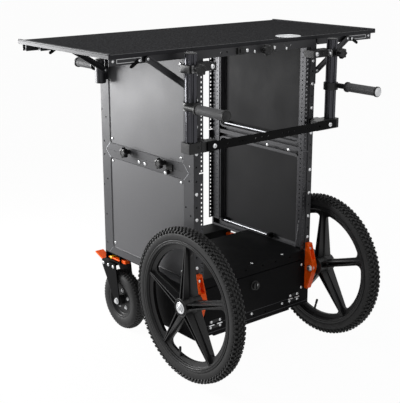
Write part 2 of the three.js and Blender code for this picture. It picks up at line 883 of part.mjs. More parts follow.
// Base: sheet box with a tray under it, and a rear deck on two side rails
function chassis() {
  const top = bodyBottom - gap;
  const s = baseSheet;
  const mouth = lidHalf + lidGap;
  const back = baseDepth - s;
  let shape = box(-half, half, 0, baseDepth, baseBottom, top)
    .subtract(box(s - half, half - s, s, back, baseBottom + s, top - s))
    .subtract(box(-mouth, mouth, s, back, top - 2 * s, top + overrun))
    .subtract(box(-mouth, mouth, -overrun, s + bite, lidTop - lidSkirt - lidGap, top + overrun))
    .subtract(box(-doorHalf, doorHalf, -overrun, s + bite, doorBottom, top + overrun));
  const seat = lidTop - lidSkirt - lidGap;
  [-1, 1].forEach((side) => {
    const wall = side * (half - s + bite);
    const edge = side * (lidHalf - seatWidth);
    shape = shape.add(box(
      Math.min(wall, edge), Math.max(wall, edge),
      s - bite, back + bite,
      seat - s, seat,
    ));
  });
  const tray = box(
    -trayHalf, trayHalf,
    trayFront, baseDepth - trayFront,
    baseBottom - trayHeight, baseBottom + bite,
  );
  const deckFront = bodyDepth - deckDepth;
  const deck = box(-half, half, deckFront, bodyDepth, deckUnder, top).subtract(box(
    -half - overrun, half + overrun,
    deckFront + deckSheet, bodyDepth - deckSheet,
    deckUnder - overrun, top - deckSheet,
  ));
  shape = shape.add(tray).add(deck);
  [-1, 1].forEach((side) => {
    const middle = side * (half - frameThick / 2);
    shape = shape.add(box(
      middle - deckRailWidth / 2, middle + deckRailWidth / 2,
      back, deckFront + deckSheet,
      top - deckRailHeight, top,
    ));
    const plateX = side * casterX;
    const plateEnd = Math.min(Math.abs(plateX) + casterPlate / 2, half);
    const plateStart = Math.abs(plateX) - casterPlate / 2;
    shape = shape.add(box(
      Math.min(side * plateStart, side * plateEnd), Math.max(side * plateStart, side * plateEnd),
      deckFront, bodyDepth,
      deckUnder, deckUnder + deckSheet,
    ));
  });
  return shape;
}

function lid() {
  const s = baseSheet;
  return box(-lidHalf, lidHalf, 0, baseDepth - s - lidGap, lidTop - lidSkirt, lidTop)
    .subtract(box(
      s - lidHalf, lidHalf - s,
      s, baseDepth - 2 * s - lidGap,
      lidTop - lidSkirt - overrun, lidTop - s,
    ));
}

const doorFace = -doorProud;
piece('base_chassis', chassis(), 'powder');
piece('base_lid', lid(), 'powder');
piece('base_door', box(
  doorGap - doorHalf, doorHalf - doorGap,
  doorFace, doorFace + doorSheet,
  doorBottom + doorGap, doorTop,
), 'panel');
piece('lock_dial', turned('y', [
  [0, doorFace - gap - dialLength],
  [dialRadius - 2 * bite, doorFace - gap - dialLength],
  [dialRadius, doorFace - gap - dialLength + 2 * bite],
  [dialRadius, doorFace - gap],
  [0, doorFace - gap],
], dialHeight, 0, roundFacets), 'plastic');

// Large wheels: tyre, five-spoke rim, and an orange bracket with its stub axle
const axleY = -wheelAhead;

function tyre() {
  const w = tyreHalfWidth;
  const r = beadRadius + gap;
  const shoulder = (wheelRadius - beadRadius) / 4;
  const bead = rimHalfWidth - gap;
  const profile = [
    [r, -bead],
    [r + shoulder, -bead],
    [r + 2 * shoulder, -w],
    [wheelRadius - shoulder, -w + shoulder / 4],
    [wheelRadius, -w / 2],
    [wheelRadius, w / 2],
    [wheelRadius - shoulder, w - shoulder / 4],
    [r + 2 * shoulder, w],
    [r + shoulder, bead],
    [r, bead],
    [r, -bead],
  ].map(([radius, place]) => [radius, place + wheelX]);
  return turned('x', profile, axleY, wheelRadius, tyreFacets);
}

// A spoke tapers from its full depth at the hub to a thin, wide foot at the rim
function spoke(turn) {
  const from = hubRadius / 2;
  const to = beadRadius - rimWall / 2;
  const geometry = new THREE.BoxGeometry(1, 1, 1);
  const points = geometry.attributes.position;
  for (let i = 0; i < points.count; i += 1) {
    const atRim = points.getZ(i) > 0;
    const thick = atRim ? spokeRimThick : spokeHubThick;
    const wide = atRim ? spokeRimWidth : spokeHubWidth;
    points.setXYZ(i, points.getX(i) * thick, points.getY(i) * wide, atRim ? to : from);
  }
  geometry.rotateX(turn - Math.PI / 2);
  geometry.translate(wheelX, axleY, wheelRadius);
  return solid(geometry);
}

function rim() {
  const outer = rimHalfWidth + rimFlangeThick;
  const well = beadRadius - rimWall;
  const profile = [
    [well, -outer],
    [rimFlange, -outer],
    [rimFlange, -rimHalfWidth],
    [beadRadius, -rimHalfWidth],
    [beadRadius, rimHalfWidth],
    [rimFlange, rimHalfWidth],
    [rimFlange, outer],
    [well, outer],
    [well, -outer],
  ].map(([radius, place]) => [radius, place + wheelX]);
  let shape = turned('x', profile, axleY, wheelRadius, tyreFacets);
  const hub = rod('x', axleY, wheelRadius, hubRadius, wheelX - hubInner, wheelX + hubOuter, roundFacets);
  shape = shape.add(hub);
  for (let i = 0; i < spokeCount; i += 1) {
    shape = shape.add(spoke(Math.PI / 2 + (2 * Math.PI * i) / spokeCount));
  }
  const bore = axleRadius + gap;
  return shape.subtract(rod(
    'x', axleY, wheelRadius, bore,
    wheelX - hubInner - overrun, wheelX + hubOuter + overrun, smallFacets,
  ));
}

function bracket() {
  const mid = wheelRadius + bracketWaist / 2;
  const outline = [
    [-gap, bracketBottom],
    [-gap, bracketTop],
    [-bracketEdge, bracketTop],
    [-bracketBulge, mid + bracketWaist / 2],
    [-bracketBulge, mid - bracketWaist],
    [-bracketEdge, bracketBottom],
  ].reverse();
  const middle = half - frameThick / 2;
  const pocket = box(
    middle - pocketWidth / 2, middle + pocketWidth / 2,
    -bracketBulge - overrun, -bracketEdge + pocketDepth,
    bracketTop - pocketTop - pocketHeight, bracketTop - pocketTop,
  );
  const end = wheelX + hubOuter + gap;
  const axle = rod('x', axleY, wheelRadius, axleRadius, middle, end + bite, smallFacets);
  const nut = rod('x', axleY, wheelRadius, axleNutRadius, end, end + axleNut, 6);
  const spacer = rod(
    'x', axleY, wheelRadius, axleNutRadius, half - bite, wheelX - hubInner - gap, smallFacets,
  );
  return prism('x', outline, inner, half).subtract(pocket).add(axle).add(nut).add(spacer);
}

pair('tyre', tyre(), 'rubber');
pair('rim', rim(), 'plastic');
pair('axle_bracket', bracket(), 'orange');

// Casters: fork, wheel and brake pedal
const crownTop = deckUnder - crownDrop;
const legInner = casterHub + forkGap;
const casterAxleY = casterY - casterTrail;

function fork() {
  const legOuter = legInner + forkSheet;
  const crown = box(
    casterX - legOuter, casterX + legOuter,
    casterY - forkTopFront, casterY + forkTopBack,
    crownTop - crownThick, crownTop,
  );
  const race = rod('z', casterX, casterY, raceRadius, crownTop - bite, deckUnder - gap, roundFacets);
  const legTop = crownTop - crownThick / 2;
  const foot = capsule(casterAxleY, casterRadius, casterAxleY, casterRadius + bite, forkFoot, 6)
    .filter(([, z]) => z < casterRadius + bite);
  const outline = [
    [casterY - forkTopFront, legTop],
    ...foot.sort((a, b) => a[0] - b[0]),
    [casterY + forkTopBack, crownTop - 4 * crownThick],
    [casterY + forkTopBack, legTop],
  ];
  let shape = crown.add(race);
  [-1, 1].forEach((side) => {
    const near = casterX + side * legInner;
    const far = casterX + side * legOuter;
    shape = shape.add(prism('x', outline, Math.min(near, far), Math.max(near, far)));
  });
  const axle = rod(
    'x', casterAxleY, casterRadius, casterAxle,
    casterX - legOuter - forkSheet, casterX + legOuter + forkSheet, smallFacets,
  );
  return shape.add(axle);
}

function casterWheel() {
  const w = casterHalfWidth;
  const bore = casterAxle + gap;
  const dish = casterRimRadius - forkFoot / 2;
  const cheek = (casterRimRadius + casterRadius) / 2;
  const profile = [
    [bore, -casterHub],
    [casterHubRadius, -casterHub],
    [casterHubRadius, -casterBoss],
    [dish, -casterBoss],
    [cheek, -w],
    [casterRadius, -w / 2],
    [casterRadius, w / 2],
    [cheek, w],
    [dish, casterBoss],
    [casterHubRadius, casterBoss],
    [casterHubRadius, casterHub],
    [bore, casterHub],
    [bore, -casterHub],
  ].map(([radius, place]) => [radius, place + casterX]);
  return turned('x', profile, casterAxleY, casterRadius, casterFacets);
}

// Brake pedal: a pin between the fork's legs, a tread plate and a shoe over the tyre
const pedalY = casterY + pedalStart;
const pedalZ = crownTop - pedalDrop;

function pedal() {
  const pin = rod(
    'x', pedalY, pedalZ, pedalPin,
    casterX - legInner + gap, casterX + legInner - gap, smallFacets,
  );
  const tread = prism('x', capsule(
    pedalY, pedalZ, casterY + pedalReach, pedalZ + pedalRise, pedalThick / 2, 3,
  ), casterX - pedalWidth / 2, casterX + pedalWidth / 2);
  const shoe = prism('x', capsule(
    pedalY, pedalZ, pedalY, pedalZ - shoeLength, pedalThick / 2, 3,
  ), casterX - shoeWidth / 2, casterX + shoeWidth / 2);
  return pin.add(tread).add(shoe);
}

pair('caster_fork', fork(), 'powder');
pair('caster_wheel', casterWheel(), 'rubber');
pair('brake_pedal', pedal(), 'orange');

export default cart;
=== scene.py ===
# %% [markdown]
# A camera cart for film crews: two stacked rack modules on a locking base box, a work top whose
# ends fold down, four grip handles, two large spoked wheels and two braked casters. The packed
# CAD model is the fixed frame. This lesson dresses it: bolts, tread, spokes, knobs, trim and
# finishes, each built where the CAD says and moved by the body that carries it.

# %% Load the frame
import math

import bmesh
import bpy
from mathutils import Matrix, Vector


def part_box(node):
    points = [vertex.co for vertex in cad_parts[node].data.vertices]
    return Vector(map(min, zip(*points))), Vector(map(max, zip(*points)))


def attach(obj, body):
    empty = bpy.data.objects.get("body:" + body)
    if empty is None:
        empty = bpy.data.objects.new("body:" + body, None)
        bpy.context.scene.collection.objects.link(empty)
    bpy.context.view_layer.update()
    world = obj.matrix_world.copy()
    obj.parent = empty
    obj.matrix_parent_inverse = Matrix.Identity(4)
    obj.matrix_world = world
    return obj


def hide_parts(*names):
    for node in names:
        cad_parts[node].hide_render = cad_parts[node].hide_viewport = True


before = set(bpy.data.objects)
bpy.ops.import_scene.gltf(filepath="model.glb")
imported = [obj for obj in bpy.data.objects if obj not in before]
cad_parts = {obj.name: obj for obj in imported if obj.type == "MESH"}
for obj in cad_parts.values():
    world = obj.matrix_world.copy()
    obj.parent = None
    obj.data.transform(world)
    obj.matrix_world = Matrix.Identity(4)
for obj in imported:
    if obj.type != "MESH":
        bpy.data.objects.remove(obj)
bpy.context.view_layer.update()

scene = bpy.context.scene

# %% [markdown]
# Every piece below is drawn in millimetres, in the cart body's own frame: X across, Y backwards
# from the front face of the rack, Z up from the floor. One matrix takes a finished mesh from
# there to the frame's metres. The front face's place is read from a CAD node.

# %% Body millimetres to the frame's metres
MM = 0.001
front_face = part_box("side_frame_lower_right")[0].y
TO_FRAME = Matrix.Translation((0, front_face, 0)) @ Matrix.Diagonal((MM, MM, MM, 1))
TO_BODY = TO_FRAME.inverted()


def span(node):
    """Lowest and highest corner of a CAD node, in body millimetres."""
    low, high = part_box(node)
    return TO_BODY @ low, TO_BODY @ high


half, depth = span("side_frame_lower_right")[1].xy
print("body", round(half * 2, 1), "wide", round(depth, 1), "deep")

# %% [markdown]
# A material is a Principled shader with a few pattern nodes in front of it. One small function
# adds any node; one turns a hex colour, as picked on a screen, into the linear numbers that
# Blender works in; one turns a pattern's real size into a texture scale.

# %% Nodes and colours
def linear(colour):
    """An sRGB hex colour as linear red, green, blue and alpha."""
    channels = [int(colour[i:i + 2], 16) / 255 for i in (1, 3, 5)]
    bent = [c / 12.92 if c <= 0.04045 else ((c + 0.055) / 1.055) ** 2.4 for c in channels]
    return (*bent, 1.0)


def add(tree, kind, inputs=None, **settings):
    """Adds a node with its settings. An input is a value, or another node's output to link."""
    made = tree.nodes.new(kind)
    for key, value in settings.items():
        setattr(made, key, value)
    for key, value in (inputs or {}).items():
        if isinstance(value, bpy.types.NodeSocket):
            tree.links.new(value, made.inputs[key])
        else:
            made.inputs[key].default_value = value
    return made


def cells(size):
    """Texture scale that gives a pattern of this many millimetres on Object coordinates."""
    return 1 / (size * MM)


def material(name, colour, metallic, roughness, **sockets):
    """A Principled material, its node tree, its shader and its Object coordinates."""
    made = bpy.data.materials.new(name)
    made.use_nodes = True
    tree = made.node_tree
    shader = tree.nodes["Principled BSDF"]
    shader.inputs["Base Color"].default_value = linear(colour)
    shader.inputs["Metallic"].default_value = metallic
    shader.inputs["Roughness"].default_value = roughness
    for key, value in sockets.items():
        shader.inputs[key].default_value = value
    place = add(tree, "ShaderNodeTexCoord").outputs["Object"]
    return made, tree, shader, place


print("scale of a 3 mm pattern", round(cells(3), 1))

# %% [markdown]
# A pattern does three things here: it moves the roughness, mixes two tints or raises a relief.
# It lies on Object coordinates, which need no unwrapping and stay with a piece that moves.

# %% Patterns
MID = (0.3, 0.7)
WHOLE = (0.0, 1.0)


def noise(tree, place, size, detail, distortion=0.0):
    """A noise pattern whose patches are this many millimetres across."""
    return add(tree, "ShaderNodeTexNoise", {
        "Vector": place, "Scale": cells(size), "Detail": detail, "Distortion": distortion,
    }).outputs["Fac"]


def vary(tree, shader, pattern, low, high, reach=MID):
    """Drives the roughness between two values, over the part of the pattern that reach gives."""
    spread = add(tree, "ShaderNodeMapRange", {
        "Value": pattern, "From Min": reach[0], "From Max": reach[1], "To Min": low, "To Max": high,
    })
    tree.links.new(spread.outputs["Result"], shader.inputs["Roughness"])


def tint(tree, shader, pattern, first, second):
    """Mixes the base colour between two hex colours by a pattern."""
    mix = add(tree, "ShaderNodeMix", {"Factor": pattern}, data_type="RGBA")
    mix.inputs["A"].default_value = linear(first)
    mix.inputs["B"].default_value = linear(second)
    tree.links.new(mix.outputs["Result"], shader.inputs["Base Color"])


def emboss(tree, shader, pattern, depth_mm, strength):
    """Bump from a pattern whose full height is a real depth in millimetres."""
    bump = add(tree, "ShaderNodeBump", {
        "Height": pattern, "Distance": depth_mm * MM, "Strength": strength,
    })
    tree.links.new(bump.outputs["Normal"], shader.inputs["Normal"])


print("a noise is used from", MID[0], "to", MID[1])

# %% [markdown]
# Most finishes on the cart need the same few nodes, so one function makes them. A slow noise
# drifts the gloss, because a real surface is never equally shiny all over. A finer one, where
# there is one, mixes two close tints and raises a real, very small relief. Where there is none,
# the slow noise does both.
#
# The frames, lid and base are folded steel with black polyester powder coat. The powder
# melts into a skin with a slight orange peel, so it is satin, and its highlights are soft and
# a little broken. A real peel is about 1 mm across; it is drawn at 3 mm so that it can show.

# %% Black powder coat
def finish(
    name, colour, metallic, roughness, specular=None, drift=None, grain=None, tints=None, relief=None,
):
    """A Principled finish. drift is a noise's size and detail, and the two roughnesses between
    which it moves; grain is a finer noise's size and detail; relief is a depth and a strength."""
    sockets = {} if specular is None else {"Specular IOR Level": specular}
    made, tree, shader, place = material(name, colour, metallic, roughness, **sockets)
    if drift:
        size, detail, *gloss = drift
        pattern = noise(tree, place, size, detail)
        vary(tree, shader, pattern, *gloss)
    if grain:
        pattern = noise(tree, place, *grain)
    if tints:
        tint(tree, shader, pattern, *tints)
    if relief:
        emboss(tree, shader, pattern, *relief)
    return made


PEEL = {"grain": (3.0, 1.0), "relief": (0.05, 0.4)}
DRIFT = (70.0, 2.0)
powder_coat = finish(
    "satin_black_powder_coat", "#48484a", 0.12, 0.52, 0.12, (*DRIFT, 0.42, 0.52), **PEEL,
)
matt_coat = finish("matt_black_powder_coat", "#0c0c0d", 0.0, 0.6, 0.05, (*DRIFT, 0.48, 0.6), **PEEL)
print("made", powder_coat.name, matt_coat.name)

# %% [markdown]
# The side panels are flat sheets, satin outside. Their inner faces take a much darker matt copy of
# the coat, painted shade that keeps the bay that holds the equipment dark. They carry no pattern,
# only a slow drift in gloss and a faint grain.

# %% Satin panel coat
GRAIN = (2.2, 3.0)
SHEET_DRIFT = (120.0, 3.0)
panel_skin = finish(
    "satin_panel_coat", "#59595b", 0.12, 0.5, 0.22, (*SHEET_DRIFT, 0.46, 0.54), GRAIN,
    ("#4a4a4c", "#5e5e60"), (0.03, 0.4),
)
# painted shade: a darker matt copy of the panel coat, for the faces that look into the bay
panel_back_painted_shade = finish(
    "panel_inner_painted_shade", "#222223", 0.0, 0.62, 0.08, (*SHEET_DRIFT, 0.56, 0.68), GRAIN,
    ("#1b1b1c", "#29292a"),
)
print("made", panel_skin.name, panel_back_painted_shade.name)

# %% [markdown]
# Posts, braces, rack rails and edge strips are black anodised aluminium. Extruding leaves fine
# die lines along the length, so the noise is stretched along Z. Real lines are about 0.3 mm
# apart, drawn here at 1 mm. The front posts have a brighter finish that mirrors more.

# %% Black anodised aluminium
DIE_LINE = 1.0
DIE_LENGTH = 90.0


def anodised(name, colour, metallic, roughness, low, high):
    """Anodised aluminium, whose die lines along Z drive the gloss and the relief."""
    made, tree, shader, place = material(name, colour, metallic, roughness)
    stretch = add(tree, "ShaderNodeMapping", {
        "Vector": place, "Scale": (cells(DIE_LINE), cells(DIE_LINE), cells(DIE_LENGTH)),
    })
    lines = add(tree, "ShaderNodeTexNoise", {
        "Vector": stretch.outputs["Vector"], "Scale": 1.0, "Detail": 2.0,
    }).outputs["Fac"]
    vary(tree, shader, lines, low, high, WHOLE)
    emboss(tree, shader, lines, 0.02, 0.5)
    return made


rail_anodised = anodised("black_anodised_aluminium", "#2e2e31", 0.5, 0.38, 0.34, 0.44)
post_anodised = anodised("bright_black_anodised", "#3e3e42", 0.9, 0.2, 0.16, 0.24)
print("made", rail_anodised.name, post_anodised.name)

# %% [markdown]
# The work top is covered in needle felt: short black and grey fibres punched into a mat. It
# hardly shines at all. Two noises, one for tufts and one for single fibres, are multiplied, and
# their product drives both colour and bump.

# %% Needle felt
TUFT = 6.0
FIBRE = 2.4
carpet, tree, shader, place = material(
    "needle_felt", "#2c2c2d", 0.0, 1.0,
    **{"Sheen Weight": 0.02, "Sheen Roughness": 0.6, "Specular IOR Level": 0.0},
)
tufts = noise(tree, place, TUFT, 3.0)
fibres = noise(tree, place, FIBRE, 4.0, 0.6)
pile = add(tree, "ShaderNodeMath", {0: tufts, 1: fibres}, operation="MULTIPLY").outputs[0]
mat = add(tree, "ShaderNodeMapRange", {"Value": pile, "From Min": 0.12, "From Max": 0.42})
tint(tree, shader, mat.outputs["Result"], "#141415", "#4a4a4c")
emboss(tree, shader, pile, 0.7, 0.5)
print("made", carpet.name)

# %% [markdown]
# The board's edge is a dark grey anodised channel, and the port and grip discs are plain satin
# aluminium. Both are finely brushed.

# %% Brushed aluminium
BRUSH = (1.4, 3.0)
BRUSH_RELIEF = (0.02, 0.4)
dark_edge = finish(
    "grey_anodised_channel", "#202024", 0.4, 0.5, 0.2, grain=BRUSH, tints=("#1b1b1e", "#252528"),
    relief=BRUSH_RELIEF,
)
edge_trim = finish(
    "satin_aluminium", "#c2c3c5", 1.0, 0.36, drift=(*BRUSH, 0.3, 0.46, WHOLE),
    tints=("#b6b7b9", "#cdcecf"), relief=BRUSH_RELIEF,
)
print("made", dark_edge.name, edge_trim.name)

# %% [markdown]
# Rims and knobs are moulded from glass-filled nylon, fairly glossy, with a faint clouding where
# the glass comes to the surface. There are two rubbers: the grips are a matt, slightly grey one,
# and the tyres a darker one that holds dust between its blocks.

# %% Moulded nylon and rubbers
moulded_black = finish(
    "moulded_nylon", "#101011", 0.0, 0.44, 0.3, (14.0, 2.0, 0.4, 0.48),
    tints=("#0d0d0e", "#151516"), relief=(0.02, 0.2),
)
grip_rubber = finish(
    "ribbed_grip_rubber", "#39393a", 0.0, 0.6, 0.4, (4.0, 2.0, 0.55, 0.72),
    tints=("#3c3c3d", "#48484a"), relief=(0.12, 0.5),
)
tyre_rubber = finish(
    "knobbly_tyre_rubber", "#19191a", 0.0, 0.62, 0.3, (12.0, 4.0, 0.52, 0.72),
    tints=("#141415", "#202020"), relief=(0.15, 0.5),
)
print("made", moulded_black.name, grip_rubber.name, tyre_rubber.name)

# %% [markdown]
# The brackets and pedals that a hand or foot looks for are bright orange over a blasted surface.
# Screws are bright zinc plate, the tie rods brushed steel, and the clamps and dark screws black
# oxide. The lock lever's tip is dipped in yellow vinyl.

# %% Orange, steel and vinyl
orange_anodised = finish(
    "blasted_orange_anodised", "#ff5a0c", 0.1, 0.34, 0.16, grain=(1.6, 2.0),
    tints=("#fa5208", "#ff620e"), relief=(0.03, 0.4),
)
bright_steel = finish(
    "zinc_plated_steel", "#d2d3d5", 0.9, 0.34, drift=(6.0, 2.0, 0.3, 0.38),
    tints=("#cccdcf", "#dadbdc"),
)
grey_steel = finish(
    "brushed_steel", "#8b8c8f", 0.9, 0.46, drift=(8.0, 2.0, 0.42, 0.5), tints=("#838487", "#939497"),
)
black_oxide = finish(
    "black_oxide_steel", "#161617", 0.5, 0.34, drift=(3.0, 2.0, 0.3, 0.44),
    tints=("#121213", "#1b1b1c"),
)
vinyl = finish(
    "yellow_vinyl", "#f0b414", 0.0, 0.4, drift=(5.0, 2.0, 0.34, 0.48), tints=("#ecae10", "#f4bb1c"),
)
print("made", orange_anodised.name, bright_steel.name, grey_steel.name, black_oxide.name, vinyl.name)

# %% [markdown]
# Each finish belongs to one of the record's material slots. The table gives every finish a short
# name and its slot.

# %% Finishes and their slots
finishes = {
    "powder_coat": (powder_coat, "powder_coat"),
    "matt_coat": (matt_coat, "powder_coat"),
    "brace_finish": (rail_anodised, "powder_coat"),
    "panel_skin": (panel_skin, "panel_skin"),
    "panel_back_painted_shade": (panel_back_painted_shade, "panel_skin"),
    "rail_anodised": (rail_anodised, "rail_anodised"),
    "post_anodised": (post_anodised, "rail_anodised"),
    "black_oxide": (black_oxide, "rail_anodised"),
    "carpet": (carpet, "carpet_board"),
    "dark_edge": (dark_edge, "edge_trim"),
    "edge_trim": (edge_trim, "edge_trim"),
    "moulded_black": (moulded_black, "moulded_black"),
    "grip_rubber": (grip_rubber, "grip_rubber"),
    "tyre_rubber": (tyre_rubber, "tyre_rubber"),
    "orange": (orange_anodised, "orange_anodised"),
    "vinyl": (vinyl, "orange_anodised"),
    "bright_steel": (bright_steel, "bright_steel"),
    "grey_steel": (grey_steel, "bright_steel"),
}
print("finishes", len(finishes))

# %% [markdown]
# Every new piece goes through one function. It takes a bmesh in body millimetres, puts it in
# the frame, makes its faces point outwards, hands it to a body and names its finish. A live
# Bevel modifier rounds the sharp edges, because no real edge is perfectly sharp, and normals
# weighted by face area keep the flats flat.

# %% Finish a piece
SMOOTH_BELOW = math.radians(36)
made_pieces = []


def put_in_scene(name, data):
    """An object in the scene, at the origin."""
    made = bpy.data.objects.new(name, data)
    scene.collection.objects.link(made)
    return made


def piece(name, bm, look, body, replaces=(), bevel=0.0, segments=2, side=1, extra=()):
    """Makes a finished object from a bmesh in body millimetres. side -1 mirrors it to the left."""
    if side < 0:
        bmesh.ops.scale(bm, vec=(-1, 1, 1), verts=bm.verts)
    bmesh.ops.transform(bm, matrix=TO_FRAME, verts=bm.verts)
    bmesh.ops.recalc_face_normals(bm, faces=bm.faces)
    mesh = bpy.data.meshes.new(name)
    bm.to_mesh(mesh)
    bm.free()
    for key in (look, *extra):
        mesh.materials.append(finishes[key][0])
    mesh.shade_smooth()
    made = put_in_scene(name, mesh)
    if bevel:
        rounding = made.modifiers.new("rounded edges", "BEVEL")
        rounding.width = bevel * MM
        rounding.segments = segments
        rounding.limit_method = "ANGLE"
        rounding.angle_limit = SMOOTH_BELOW
        flats = made.modifiers.new("flat faces", "WEIGHTED_NORMAL")
        flats.mode = "FACE_AREA"
        flats.keep_sharp = True
    else:
        mesh.set_sharp_from_angle(angle=SMOOTH_BELOW)
    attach(made, body)
    if replaces:
        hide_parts(*replaces)
    made_pieces.append(made)
    return made


print("edges are sharp above", round(math.degrees(SMOOTH_BELOW)), "degrees")

# %% [markdown]
# Where a CAD solid already has the right shape, a copy of it is merged and its flat triangles
# are joined into whole faces, so that a bevel later meets only the real edges.

# %% Copies of CAD solids
SIDES = {"right": 1, "left": -1}
LEVELS = ("lower", "upper")
ENDS = ("front", "rear")
FLAT = math.radians(1)
MERGE = 0.01


def copy_of(node):
    """A CAD node's mesh, merged and with whole flat faces, as a bmesh in body millimetres."""
    bm = bmesh.new()
    bm.from_mesh(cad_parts[node].data)
    bmesh.ops.transform(bm, matrix=TO_BODY, verts=bm.verts)
    bmesh.ops.remove_doubles(bm, verts=bm.verts, dist=MERGE)
    bmesh.ops.dissolve_limit(bm, angle_limit=FLAT, verts=bm.verts, edges=bm.edges)
    return bm


print("faces of a rack rail", len(copy_of("rack_rail_front_right").faces))

# %% [markdown]
# Holes are cut with a Boolean modifier, because bmesh has no Boolean of its own. Two temporary
# objects carry the shape and its cutters, and the evaluated mesh is taken back as a bmesh. The
# exact solver is chosen, because cutters often touch a face of what they cut.

# %% Boolean cuts
def stand_in(name, bm):
    """A temporary object that holds a bmesh while a modifier works on it."""
    mesh = bpy.data.meshes.new(name)
    bm.to_mesh(mesh)
    bm.free()
    return put_in_scene(name, mesh)


def order(point):
    """One number for a place, by which the parts of a cut mesh are sorted."""
    x, y, z = (round(value * 100) for value in point)
    return x * 1e10 + y * 1e5 + z


def carve(bm, cutters, join=True):
    """Cuts the cutters out of bm with a Boolean modifier. join makes its flat faces whole again.
    The solver may list the result in another order on each run, so it is sorted by place."""
    body = stand_in("body", bm)
    tool = stand_in("tool", cutters)
    cut = body.modifiers.new("cut", "BOOLEAN")
    cut.object = tool
    cut.operation = "DIFFERENCE"
    cut.solver = "EXACT"
    bpy.context.view_layer.update()
    shaped = body.evaluated_get(bpy.context.evaluated_depsgraph_get())
    result = bmesh.new()
    result.from_mesh(shaped.to_mesh())
    shaped.to_mesh_clear()
    for spare in (body, tool):
        mesh = spare.data
        bpy.data.objects.remove(spare)
        bpy.data.meshes.remove(mesh)
    bmesh.ops.remove_doubles(result, verts=result.verts, dist=MERGE)
    if join:
        bmesh.ops.dissolve_limit(result, angle_limit=FLAT, verts=result.verts, edges=result.edges)
    result.verts.sort(key=lambda vert: order(vert.co))
    result.edges.sort(key=lambda edge: order((edge.verts[0].co + edge.verts[1].co) / 2))
    result.faces.sort(key=lambda face: order(face.calc_center_median()))
    return result


def softened(node, look, body, bevel, segments=2, cutters=None):
    """Replaces a CAD node by a copy with rounded edges, and with holes where cutters are given."""
    bm = copy_of(node)
    if cutters is not None:
        bm = carve(bm, cutters)
    return piece(f"{node}_shell", bm, look, body, (node,), bevel, segments)


print("points within", MERGE, "mm are merged")

# %% [markdown]
# New shapes come from a few operators: a box between two corners, a cylinder, an extruded face
# and, below, a spun profile. Each adds to a bmesh, so one piece can hold many of them.

# %% Simple shapes
VERT = bmesh.types.BMVert
EDGE = bmesh.types.BMEdge


def only(kind, items):
    """The items of one kind, out of what an operator gives back."""
    return [item for item in items if isinstance(item, kind)]


def block(bm, low, high):
    """Adds a box between two corners."""
    low, high = Vector(low), Vector(high)
    corners = bmesh.ops.create_cube(bm, size=1)["verts"]
    bmesh.ops.scale(bm, vec=high - low, verts=corners)
    bmesh.ops.translate(bm, vec=(low + high) / 2, verts=corners)
    return corners


def boxes(*pairs):
    """A new bmesh of boxes, each between two corners."""
    bm = bmesh.new()
    for low, high in pairs:
        block(bm, low, high)
    return bm


def cylinder(bm, radius, height, matrix, segments):
    """Adds a closed cylinder, centred on the matrix's place and along its Z."""
    return bmesh.ops.create_cone(
        bm, cap_ends=True, segments=segments, radius1=radius, radius2=radius, depth=height,
        matrix=matrix,
    )["verts"]


def raise_faces(bm, offset):
    """Extrudes every face by an offset, and keeps the first ones as the near side."""
    grown = bmesh.ops.extrude_face_region(bm, geom=bm.faces[:], use_keep_orig=True)["geom"]
    bmesh.ops.translate(bm, vec=offset, verts=only(VERT, grown))


print("faces of a box", len(boxes(((0, 0, 0), (1, 1, 1))).faces))

# %% [markdown]
# A shape that is needed often is kept as a mesh and stamped where it is wanted, by a matrix that
# points its Z in any direction. Round parts are profiles spun about that Z.

# %% Stamps and spun profiles
def aim(point, direction, roll=0.0):
    """The matrix that stands a shape drawn along +Z on a point, facing a direction."""
    turn = Vector(direction).to_track_quat("Z", "Y").to_matrix().to_4x4()
    return Matrix.Translation(point) @ turn @ Matrix.Rotation(roll, 4, "Z")


def shape(bm):
    """Keeps a finished shape as a mesh, to be stamped in many places."""
    bmesh.ops.remove_doubles(bm, verts=bm.verts, dist=0.001)
    bmesh.ops.recalc_face_normals(bm, faces=bm.faces)
    mesh = bpy.data.meshes.new("shape")
    bm.to_mesh(mesh)
    bm.free()
    return mesh


def stamp(bm, mesh, matrix):
    """Adds a copy of a kept shape, moved by the matrix."""
    placed = mesh.copy()
    placed.transform(matrix)
    bm.from_mesh(placed)
    bpy.data.meshes.remove(placed)


def turn_profile(bm, profile, matrix=Matrix.Identity(4), steps=32):
    """Spins a profile of (radius, height) points round +Z, and adds it, moved by the matrix."""
    lathe = bmesh.new()
    points = [lathe.verts.new((radius, 0, height)) for radius, height in profile]
    edges = [lathe.edges.new(pair) for pair in zip(points, points[1:])]
    bmesh.ops.spin(
        lathe, geom=[*points, *edges], cent=(0, 0, 0), axis=(0, 0, 1),
        angle=math.tau, steps=steps, use_merge=True, use_duplicate=False,
    )
    turned = shape(lathe)
    stamp(bm, turned, matrix)
    bpy.data.meshes.remove(turned)


def spun(profile, matrix=Matrix.Identity(4), steps=32):
    """A new bmesh with one spun profile."""
    bm = bmesh.new()
    turn_profile(bm, profile, matrix, steps)
    return bm


print("faces of a spun tube", len(spun([(1, 0), (1, 1)]).faces))

# %% [markdown]
# Screws hold everything on this cart, and their bright heads are what the eye counts. A button
# head is a spun dome with a hexagon socket: a six-sided ring is bridged to the dome's rim, then
# pushed in. It is made once for each size and stamped wherever a screw sits.

# %% Screws and nuts
HEAD_STEPS = 14
HEAD_SIDES = 6
DOME = ((0, 0), (1, 0), (1, 0.3), (0.86, 0.75), (0.62, 1))
SOCKET_SHARE = 0.6
WASHER = 1.2
WASHER_STEPS = 20
CHAMFER = 0.8


